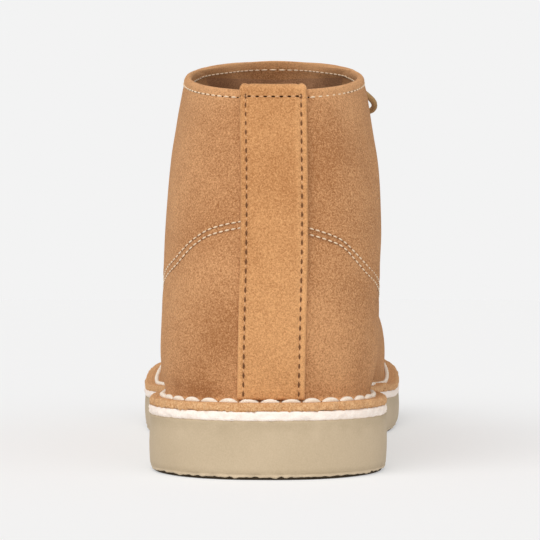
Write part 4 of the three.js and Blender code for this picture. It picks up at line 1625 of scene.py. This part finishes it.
def crepe_tone(points):
    height = points[:, 2] - sole_bottom(LENGTH / 2 - points[:, 1])
    under_top = smooth(CREPE, 1, LENGTH / 2 - points[:, 1]) - height
    # Painted highlight along the bottom lip with a darker line just above it, and painted shade
    # along the top of the crepe under the felt; the streaks and waves are the rubber's own tone.
    lip = trough(height - 1.2, 0.45, 0.5) - trough(height - 2.1, 0.3, 0.5)
    shade_under_felt = -0.2 * (1 - step((under_top - 1.0) / 3.5))
    streaks = 0.06 * waves(points * [0.15, 0.15, 1], 0.9, 86) * (under_top < 6)
    return lip + shade_under_felt + streaks + 0.1 * waves(points, 25, 87)


set_tone(outsole, crepe_tone)

# %% Felt midsole
# height from the bottom in mm, inset in mm, how fibrous
FELT_PROFILE = [
    (-0.27, 1.2, 0.2),
    (-0.25, 0.3, 0.6),
    (0.1, 0.0, 1.0),
    (0.7, -0.1, 1.0),
    (1.2, -0.12, 1.0),
    (1.7, -0.1, 1.0),
    (2.3, 0.0, 1.0),
    (2.64, 0.3, 0.6),
    (2.66, 1.2, 0.2),
]
felt_rings = []
for height, inset, fibrous_share in FELT_PROFILE:
    ring = ring_at(turns, inset + GAP, lambda along: midsole_bottom(along) + height)
    out = outward_of(ring)
    fibres = 0.18 * waves(ring, 2.2, 91) + 0.16 * waves(ring * [1, 1, 2.5], 1.1, 92)
    ring = ring + out * (0.25 + fibrous_share * fibres)[:, None]
    felt_rings.append(ring)
plate("felt_midsole", felt_rings, 2, flat_relief, [felt] * 4, ["midsole"])

# %% Insole
INNER_TURNS = 360
INSOLE_CROSS_STEPS = 12
# height from the bottom and inset, in mm
INSOLE_PROFILE = [(0.0, 0.3), (0.1, 0.0), (2.6, 0.0), (2.9, 0.15), (3.0, 0.6)]


def inner_side(along):
    return smooth(SOLE, 3, along) + WALL + GAP


insole_turns = plate_turns(INNER_TURNS)
insole_rings = []
for height, inset in INSOLE_PROFILE:
    back, toe = FLANGE_BACK + WALL + GAP + inset, FLANGE_TOE + WALL + GAP + inset
    along, across = outline(insole_turns, back, toe, lambda at: inner_side(at) + inset)
    insole_rings.append(place(along, across, flange_bottom(along) + height))
plate("insole_board", insole_rings, INSOLE_CROSS_STEPS, flat_relief, [insole_leather] * 4,
      ["insole"])

# %% [markdown]
# ## Stitches
#
# A seam is one small shape repeated along a path, which is what Geometry Nodes are for. The path
# is a line of edges that stores the leather's outward direction at each point. The tree divides it
# at the pitch of the seam, sets a slightly arched stitch on each division with its foot against
# the leather, and a needle hole between every two. All sizes are inputs, so one tree sews the
# fine collar seams and the thick thread of the sole.

# %% The stitch tree


def build_stitch_tree():
    tree = bpy.data.node_groups.new("row_of_stitches", "GeometryNodeTree")
    face = tree.interface
    face.new_socket("Path", in_out="INPUT", socket_type="NodeSocketGeometry")
    for name in ("Pitch", "Stitch Length", "Thread", "Arch", "Height", "Fullness", "Wander",
                 "Hole Length", "Hole Width", "Hole Height"):
        face.new_socket(name, in_out="INPUT", socket_type="NodeSocketFloat")
    face.new_socket("Sides", in_out="INPUT", socket_type="NodeSocketInt")
    face.new_socket("Steps", in_out="INPUT", socket_type="NodeSocketInt")
    face.new_socket("Seed", in_out="INPUT", socket_type="NodeSocketInt")
    face.new_socket("Thread Material", in_out="INPUT", socket_type="NodeSocketMaterial")
    face.new_socket("Hole Material", in_out="INPUT", socket_type="NodeSocketMaterial")
    face.new_socket("Stitches", in_out="OUTPUT", socket_type="NodeSocketGeometry")
    nodes, links = tree.nodes, tree.links
    given, result = nodes.new("NodeGroupInput"), nodes.new("NodeGroupOutput")

    def math_node(operation, first, second=None):
        node = nodes.new("ShaderNodeMath")
        node.operation = operation
        for socket, value in zip(node.inputs, (first, second)):
            if isinstance(value, (int, float)):
                socket.default_value = value
            elif value is not None:
                links.new(value, socket)
        return node.outputs[0]

    def vector(x, y, z):
        node = nodes.new("ShaderNodeCombineXYZ")
        for socket, value in zip(node.inputs, (x, y, z)):
            if isinstance(value, (int, float)):
                socket.default_value = value
            else:
                links.new(value, socket)
        return node.outputs[0]

    # One stitch: an arc with a round section that thins towards both ends.
    half = math_node("MULTIPLY", given.outputs["Stitch Length"], 0.5)
    foot = math_node("SUBTRACT", given.outputs["Height"], given.outputs["Arch"])
    crown = math_node("ADD", given.outputs["Height"], given.outputs["Arch"])
    arc = nodes.new("GeometryNodeCurveQuadraticBezier")
    links.new(given.outputs["Steps"], arc.inputs["Resolution"])
    links.new(vector(math_node("MULTIPLY", half, -1.0), 0.0, foot), arc.inputs["Start"])
    links.new(vector(0.0, 0.0, crown), arc.inputs["Middle"])
    links.new(vector(half, 0.0, foot), arc.inputs["End"])
    along = nodes.new("GeometryNodeSplineParameter").outputs["Factor"]
    centred = math_node("ABSOLUTE", math_node("SUBTRACT", math_node("MULTIPLY", along, 2.0), 1.0))
    taper = math_node("SUBTRACT", 1.0, math_node("POWER", centred, given.outputs["Fullness"]))
    radius = math_node("MULTIPLY", math_node("MAXIMUM", taper, 0.3), given.outputs["Thread"])
    section = nodes.new("GeometryNodeCurvePrimitiveCircle")
    section.inputs["Radius"].default_value = 0.5
    links.new(given.outputs["Sides"], section.inputs["Resolution"])
    stitch = nodes.new("GeometryNodeCurveToMesh")
    stitch.inputs["Fill Caps"].default_value = True
    links.new(arc.outputs["Curve"], stitch.inputs["Curve"])
    links.new(section.outputs["Curve"], stitch.inputs["Profile Curve"])
    links.new(radius, stitch.inputs["Scale"])

    # One needle hole: a flat round lens; with a dark material it is painted shade for the hole.
    lens = nodes.new("GeometryNodeMeshUVSphere")
    lens.inputs["Segments"].default_value = 8
    lens.inputs["Rings"].default_value = 4
    lens.inputs["Radius"].default_value = 0.5
    shaped = nodes.new("GeometryNodeTransform")
    links.new(lens.outputs["Mesh"], shaped.inputs["Geometry"])
    links.new(vector(given.outputs["Hole Length"], given.outputs["Hole Width"],
                     given.outputs["Hole Height"]), shaped.inputs["Scale"])

    # Places along the path, each turned to the path's direction and the leather's outward one.
    curve = nodes.new("GeometryNodeMeshToCurve")
    links.new(given.outputs["Path"], curve.inputs["Mesh"])
    divided = nodes.new("GeometryNodeResampleCurve")
    divided.mode = "LENGTH"
    links.new(curve.outputs["Curve"], divided.inputs["Curve"])
    links.new(given.outputs["Pitch"], divided.inputs["Length"])
    tangent = nodes.new("GeometryNodeInputTangent").outputs["Tangent"]
    outward = nodes.new("GeometryNodeInputNamedAttribute")
    outward.data_type = "FLOAT_VECTOR"
    outward.inputs["Name"].default_value = "outward"
    turned = nodes.new("FunctionNodeAxesToRotation")
    turned.primary_axis, turned.secondary_axis = "X", "Z"
    links.new(tangent, turned.inputs["Primary Axis"])
    links.new(outward.outputs["Attribute"], turned.inputs["Secondary Axis"])

    def instances(points, shape, material, wander):
        node = nodes.new("GeometryNodeInstanceOnPoints")
        links.new(points, node.inputs["Points"])
        links.new(shape, node.inputs["Instance"])
        links.new(turned.outputs["Rotation"], node.inputs["Rotation"])
        if wander:
            size = nodes.new("FunctionNodeRandomValue")
            size.data_type = "FLOAT"
            limits = {socket.identifier: socket for socket in size.inputs}
            values = {socket.identifier: socket for socket in size.outputs}
            links.new(math_node("SUBTRACT", 1.0, given.outputs["Wander"]), limits["Min_001"])
            links.new(math_node("ADD", 1.0, given.outputs["Wander"]), limits["Max_001"])
            links.new(given.outputs["Seed"], limits["Seed"])
            links.new(values["Value_001"], node.inputs["Scale"])
        real = nodes.new("GeometryNodeRealizeInstances")
        links.new(node.outputs["Instances"], real.inputs["Geometry"])
        painted = nodes.new("GeometryNodeSetMaterial")
        links.new(real.outputs["Geometry"], painted.inputs["Geometry"])
        links.new(given.outputs[material], painted.inputs["Material"])
        return painted.outputs["Geometry"]

    between = nodes.new("GeometryNodeSetPosition")
    shift = nodes.new("ShaderNodeVectorMath")
    shift.operation = "SCALE"
    links.new(tangent, shift.inputs[0])
    links.new(math_node("MULTIPLY", given.outputs["Pitch"], 0.5), shift.inputs["Scale"])
    links.new(divided.outputs["Curve"], between.inputs["Geometry"])
    links.new(shift.outputs["Vector"], between.inputs["Offset"])
    join = nodes.new("GeometryNodeJoinGeometry")
    links.new(instances(divided.outputs["Curve"], stitch.outputs["Mesh"], "Thread Material", True),
              join.inputs["Geometry"])
    hole_places, hole_shape = between.outputs["Geometry"], shaped.outputs["Geometry"]
    holes = instances(hole_places, hole_shape, "Hole Material", False)
    links.new(holes, join.inputs["Geometry"])
    links.new(join.outputs["Geometry"], result.inputs["Stitches"])
    return tree


stitch_tree = build_stitch_tree()
print("the stitch tree has", len(stitch_tree.nodes), "nodes")

# %% Sew rows along paths


def sew(name, paths, slot, **sizes):
    """paths: lists of points and outward directions in mm; sizes: the tree's inputs, in mm."""
    mesh = bpy.data.meshes.new(name)
    points, directions, edges = [], [], []
    for line, outward in paths:
        start = sum(len(part) for part in points)
        points.append(line)
        directions.append(outward)
        edges += [(start + i, start + i + 1) for i in range(len(line) - 1)]
    mesh.from_pydata((np.concatenate(points) * MM).tolist(), edges, [])
    stored = mesh.attributes.new("outward", "FLOAT_VECTOR", "POINT")
    stored.data.foreach_set("vector", np.concatenate(directions).astype(np.float32).ravel())
    path = bpy.data.objects.new(name + "_path", mesh)
    bpy.context.scene.collection.objects.link(path)
    modifier = path.modifiers.new("stitches", "NODES")
    modifier.node_group = stitch_tree
    values = {"Fullness": 2.5, "Wander": 0.06, "Sides": 6, "Steps": 5, "Seed": 7, **sizes}
    lengths = ("Pitch", "Stitch Length", "Thread", "Arch", "Height", "Hole Length", "Hole Width",
               "Hole Height")
    for item in stitch_tree.interface.items_tree:
        if item.in_out == "INPUT" and item.name in values:
            scale = MM if item.name in lengths else 1
            value = values[item.name]
            modifier[item.identifier] = value * scale if scale != 1 else value
    evaluated = path.evaluated_get(bpy.context.evaluated_depsgraph_get())
    sewn = bpy.data.meshes.new_from_object(evaluated)
    path.modifiers.remove(modifier)
    bpy.data.objects.remove(path)
    for layer in [layer for layer in sewn.attributes if layer.name == "outward"]:
        sewn.attributes.remove(layer)
    sewn.polygons.foreach_set("use_smooth", [True] * len(sewn.polygons))
    piece = bpy.data.objects.new(name, sewn)
    bpy.context.scene.collection.objects.link(piece)
    print(name, "has", len(sewn.polygons), "faces")
    finish_piece(piece)
    return piece


def leather_path(climb, turn, lift=0.0, inside=False):
    point, outward = skin_frame(climb, turn)
    if inside:
        return point - outward * (WALL + lift), -outward
    return point + outward * lift, outward


FINE = {
    "Pitch": 2.5,
    "Stitch Length": 1.75,
    "Thread": 0.72,
    "Arch": 0.14,
    "Height": 0.1,
    "Hole Length": 0.95,
    "Hole Width": 0.75,
    "Hole Height": 0.24,
    "Hole Material": hole_shade,
    "Thread Material": pale_thread,
}
GROOVE = -0.2

# %% Fine seams of the upper
COLLAR = {
    **FINE,
    "Pitch": 2.75,
    "Stitch Length": 1.95,
    "Thread": 0.6,
    "Hole Length": 0.75,
    "Hole Width": 0.5,
}
INSIDE_ROW = {
    **COLLAR,
    "Pitch": 3.4,
    "Stitch Length": 2.5,
    "Hole Material": soft_hole_shade,
}
collar_paths = [leather_path(*seams[f"collar_{side}"], GROOVE) for side in ("outer", "inner")]
sew("collar_stitches", collar_paths, "suede", **COLLAR)
inside_turns = np.linspace(-collar_reach, collar_reach, 700)
collar_inside = collar_place(inside_turns, COLLAR_INSIDE_SEAM)
inside_path = leather_path(collar_inside, inside_turns, 0.12, inside=True)
sew("collar_inside_stitches", [inside_path], "suede", **INSIDE_ROW)

counter_paths = [leather_path(*seams[name], GROOVE) for name in seams if name.startswith("counter")]
COUNTER = {
    **FINE,
    "Pitch": 2.05,
    "Stitch Length": 1.5,
    "Thread": 0.55,
    "Hole Length": 0.6,
    "Hole Width": 0.45,
    "Hole Material": soft_hole_shade,
}
sew("counter_stitches", counter_paths, "suede", **COUNTER)

front_paths = [leather_path(*seams[name], GROOVE) for name in seams if name.startswith("front")]
sew("quarter_edge_stitches", front_paths, "suede", **COUNTER)

# %% Seams of the back strap
top_seam_climb = 1 - STRAP_TOP_SEAM / back_seam
side_climbs = np.linspace(top_seam_climb, 0.03, 300)
strap_lift = GAP + STRAP_THICK - 0.22
strap_share = 1 - STRAP_SEAM / strap_half
side_paths = []
for side in (1, -1):
    turn = turn_across(side_climbs, strap_across(side * strap_share, side_climbs), False)
    side_paths.append(leather_path(side_climbs, turn, strap_lift))
STRAP_SIDE = {
    **FINE,
    "Pitch": 2.85,
    "Stitch Length": 1.7,
    "Thread": 0.58,
    "Hole Length": 0.8,
    "Hole Width": 0.35,
    "Hole Height": 0.3,
    "Hole Material": tan_thread,
    "Thread Material": brown_thread,
}
sew("strap_side_stitches", side_paths, "strap_suede", **STRAP_SIDE)

across = np.linspace(-strap_share, strap_share, 60)
climbs = np.full(len(across), top_seam_climb)
turn = turn_across(climbs, strap_across(across, climbs), False)
STRAP_TOP = {
    **FINE,
    "Pitch": 2.45,
    "Stitch Length": 1.3,
    "Thread": 0.5,
    "Hole Length": 1.25,
    "Hole Width": 0.62,
    "Hole Height": 0.42,
    "Thread Material": tan_thread,
}
top_path = leather_path(climbs, turn, strap_lift)
sew("strap_top_stitches", [top_path], "strap_suede", **STRAP_TOP)

# %% Seam round the top of the tongue
TONGUE_SEAM = 2.5
TONGUE_SEAM_REACH = 0.93

share = np.linspace(TONGUE_SEAM_REACH, -TONGUE_SEAM_REACH, 120)
turn = turn_across(np.ones(len(share)), share * smooth(TONGUE, 1, 1.0), True)
point, outward = skin_frame(np.ones(len(share)), turn)
rise = tongue_rise(share) - TONGUE_SEAM
to_side = tongue_side(share)
depth = WALL + mix(smooth(TONGUE, 2, 0.975), TONGUE_EDGE_DEPTH, to_side)
depth = depth + mix(TONGUE_THICK, TONGUE_EDGE_THICK, to_side)
line = point - outward * (depth + 0.15)[:, None] + rise[:, None] * tongue_slope
sew("tongue_stitches", [(line, -outward)], "suede", **INSIDE_ROW)

# %% [markdown]
# The thick thread that holds the turned-out edge to the sole is the boot's signature. Each stitch
# is fat in the middle and dives into its hole at both ends, so it reads as a row of beans lying in
# the crease.

# %% Thick stitches round the sole
SOLE_PITCH = 6.35
SOLE_SEAM_OUT = 1.35
SOLE_SEAM_LIFT = 0.05
SOLE_SEAM_LEAN = 0.45

crease_turns = np.linspace(-0.4999, 0.4999, 2400)
foot = skin_point(0.0, crease_turns)
along, across = outline(crease_turns)
reach = (place(along, across, 0.0) - foot) * [1, 1, 0]
direction = reach / np.linalg.norm(reach, axis=1, keepdims=True)
line = foot + direction * SOLE_SEAM_OUT
line[:, 2] = flange_top(LENGTH / 2 - foot[:, 1]) + SOLE_SEAM_LIFT
leaning = direction * SOLE_SEAM_LEAN + [0, 0, 0.9]
leaning /= np.linalg.norm(leaning, axis=1, keepdims=True)
sew("sole_stitches", [(line, leaning)], "midsole", **{
    "Pitch": SOLE_PITCH,
    "Stitch Length": 6.5,
    "Thread": 1.85,
    "Arch": 0.9,
    "Height": 0.35,
    "Fullness": 2.7,
    "Wander": 0.05,
    "Sides": 8,
    "Steps": 8,
    "Hole Length": 0.6,
    "Hole Width": 0.6,
    "Hole Height": 0.2,
    "Thread Material": cream_thread,
    "Hole Material": soft_hole_shade,
})

# %% [markdown]
# ## Floor and light
#
# The boot stands on a plain pale floor that runs out to a background of the same tone. Two very
# soft lamps stand high behind the camera, one to each side, and the pale surroundings fill the
# shade, so the suede shows its nap without hard shadows.

# %% Floor
FLOOR_HALF = 30.0
FLOOR_GREY = 0.5
FLOOR_GLOW = 0.405

floor_mesh = bpy.data.meshes.new("floor")
floor_signs = ((-1, -1), (1, -1), (1, 1), (-1, 1))
floor_corners = [(x * FLOOR_HALF, y * FLOOR_HALF, 0) for x, y in floor_signs]
floor_mesh.from_pydata(floor_corners, [], [(0, 1, 2, 3)])
floor = bpy.data.objects.new("floor", floor_mesh)
bpy.context.scene.collection.objects.link(floor)
floor_finish = bpy.data.materials.new("pale_floor")
floor_finish.use_nodes = True
floor_shader = floor_finish.node_tree.nodes["Principled BSDF"]
floor_shader.inputs["Base Color"].default_value = (FLOOR_GREY, FLOOR_GREY, FLOOR_GREY, 1)
floor_shader.inputs["Roughness"].default_value = 1.0
floor_shader.inputs["Specular IOR Level"].default_value = 0.0
floor_shader.inputs["Emission Color"].default_value = (1, 1, 1, 1)
floor_shader.inputs["Emission Strength"].default_value = FLOOR_GLOW
floor_mesh.materials.append(floor_finish)

# %% Light
WORLD_LIGHT = 0.4
BACKDROP = srgb(243, 243, 243)
scene = bpy.context.scene
scene.view_settings.view_transform = "Standard"
world = bpy.data.worlds.new("studio")
scene.world = world
world.use_nodes = True
nodes, links = world.node_tree.nodes, world.node_tree.links
nodes.clear()
seen, light = nodes.new("ShaderNodeBackground"), nodes.new("ShaderNodeBackground")
seen.inputs["Color"].default_value = BACKDROP
light.inputs["Color"].default_value = (1.0, 0.99, 0.98, 1)
light.inputs["Strength"].default_value = WORLD_LIGHT
path, choice = nodes.new("ShaderNodeLightPath"), nodes.new("ShaderNodeMixShader")
output = nodes.new("ShaderNodeOutputWorld")
links.new(path.outputs["Is Camera Ray"], choice.inputs[0])
links.new(light.outputs[0], choice.inputs[1])
links.new(seen.outputs[0], choice.inputs[2])
links.new(choice.outputs[0], output.inputs["Surface"])

# towards the lamp, strength, angular size in degrees
LAMPS = {
    "key": ((0.45, 0.7, 0.8), 1.95, 60),
    "fill": ((-0.6, 0.8, 0.5), 0.97, 80),
}
for name, (towards, strength, size) in LAMPS.items():
    lamp_data = bpy.data.lights.new(name, "SUN")
    lamp_data.energy = strength
    lamp_data.angle = math.radians(size)
    lamp = bpy.data.objects.new(name, lamp_data)
    lamp.rotation_euler = Vector(towards).to_track_quat("Z", "Y").to_euler()
    scene.collection.objects.link(lamp)
print(len(LAMPS), "lamps and a pale surround")
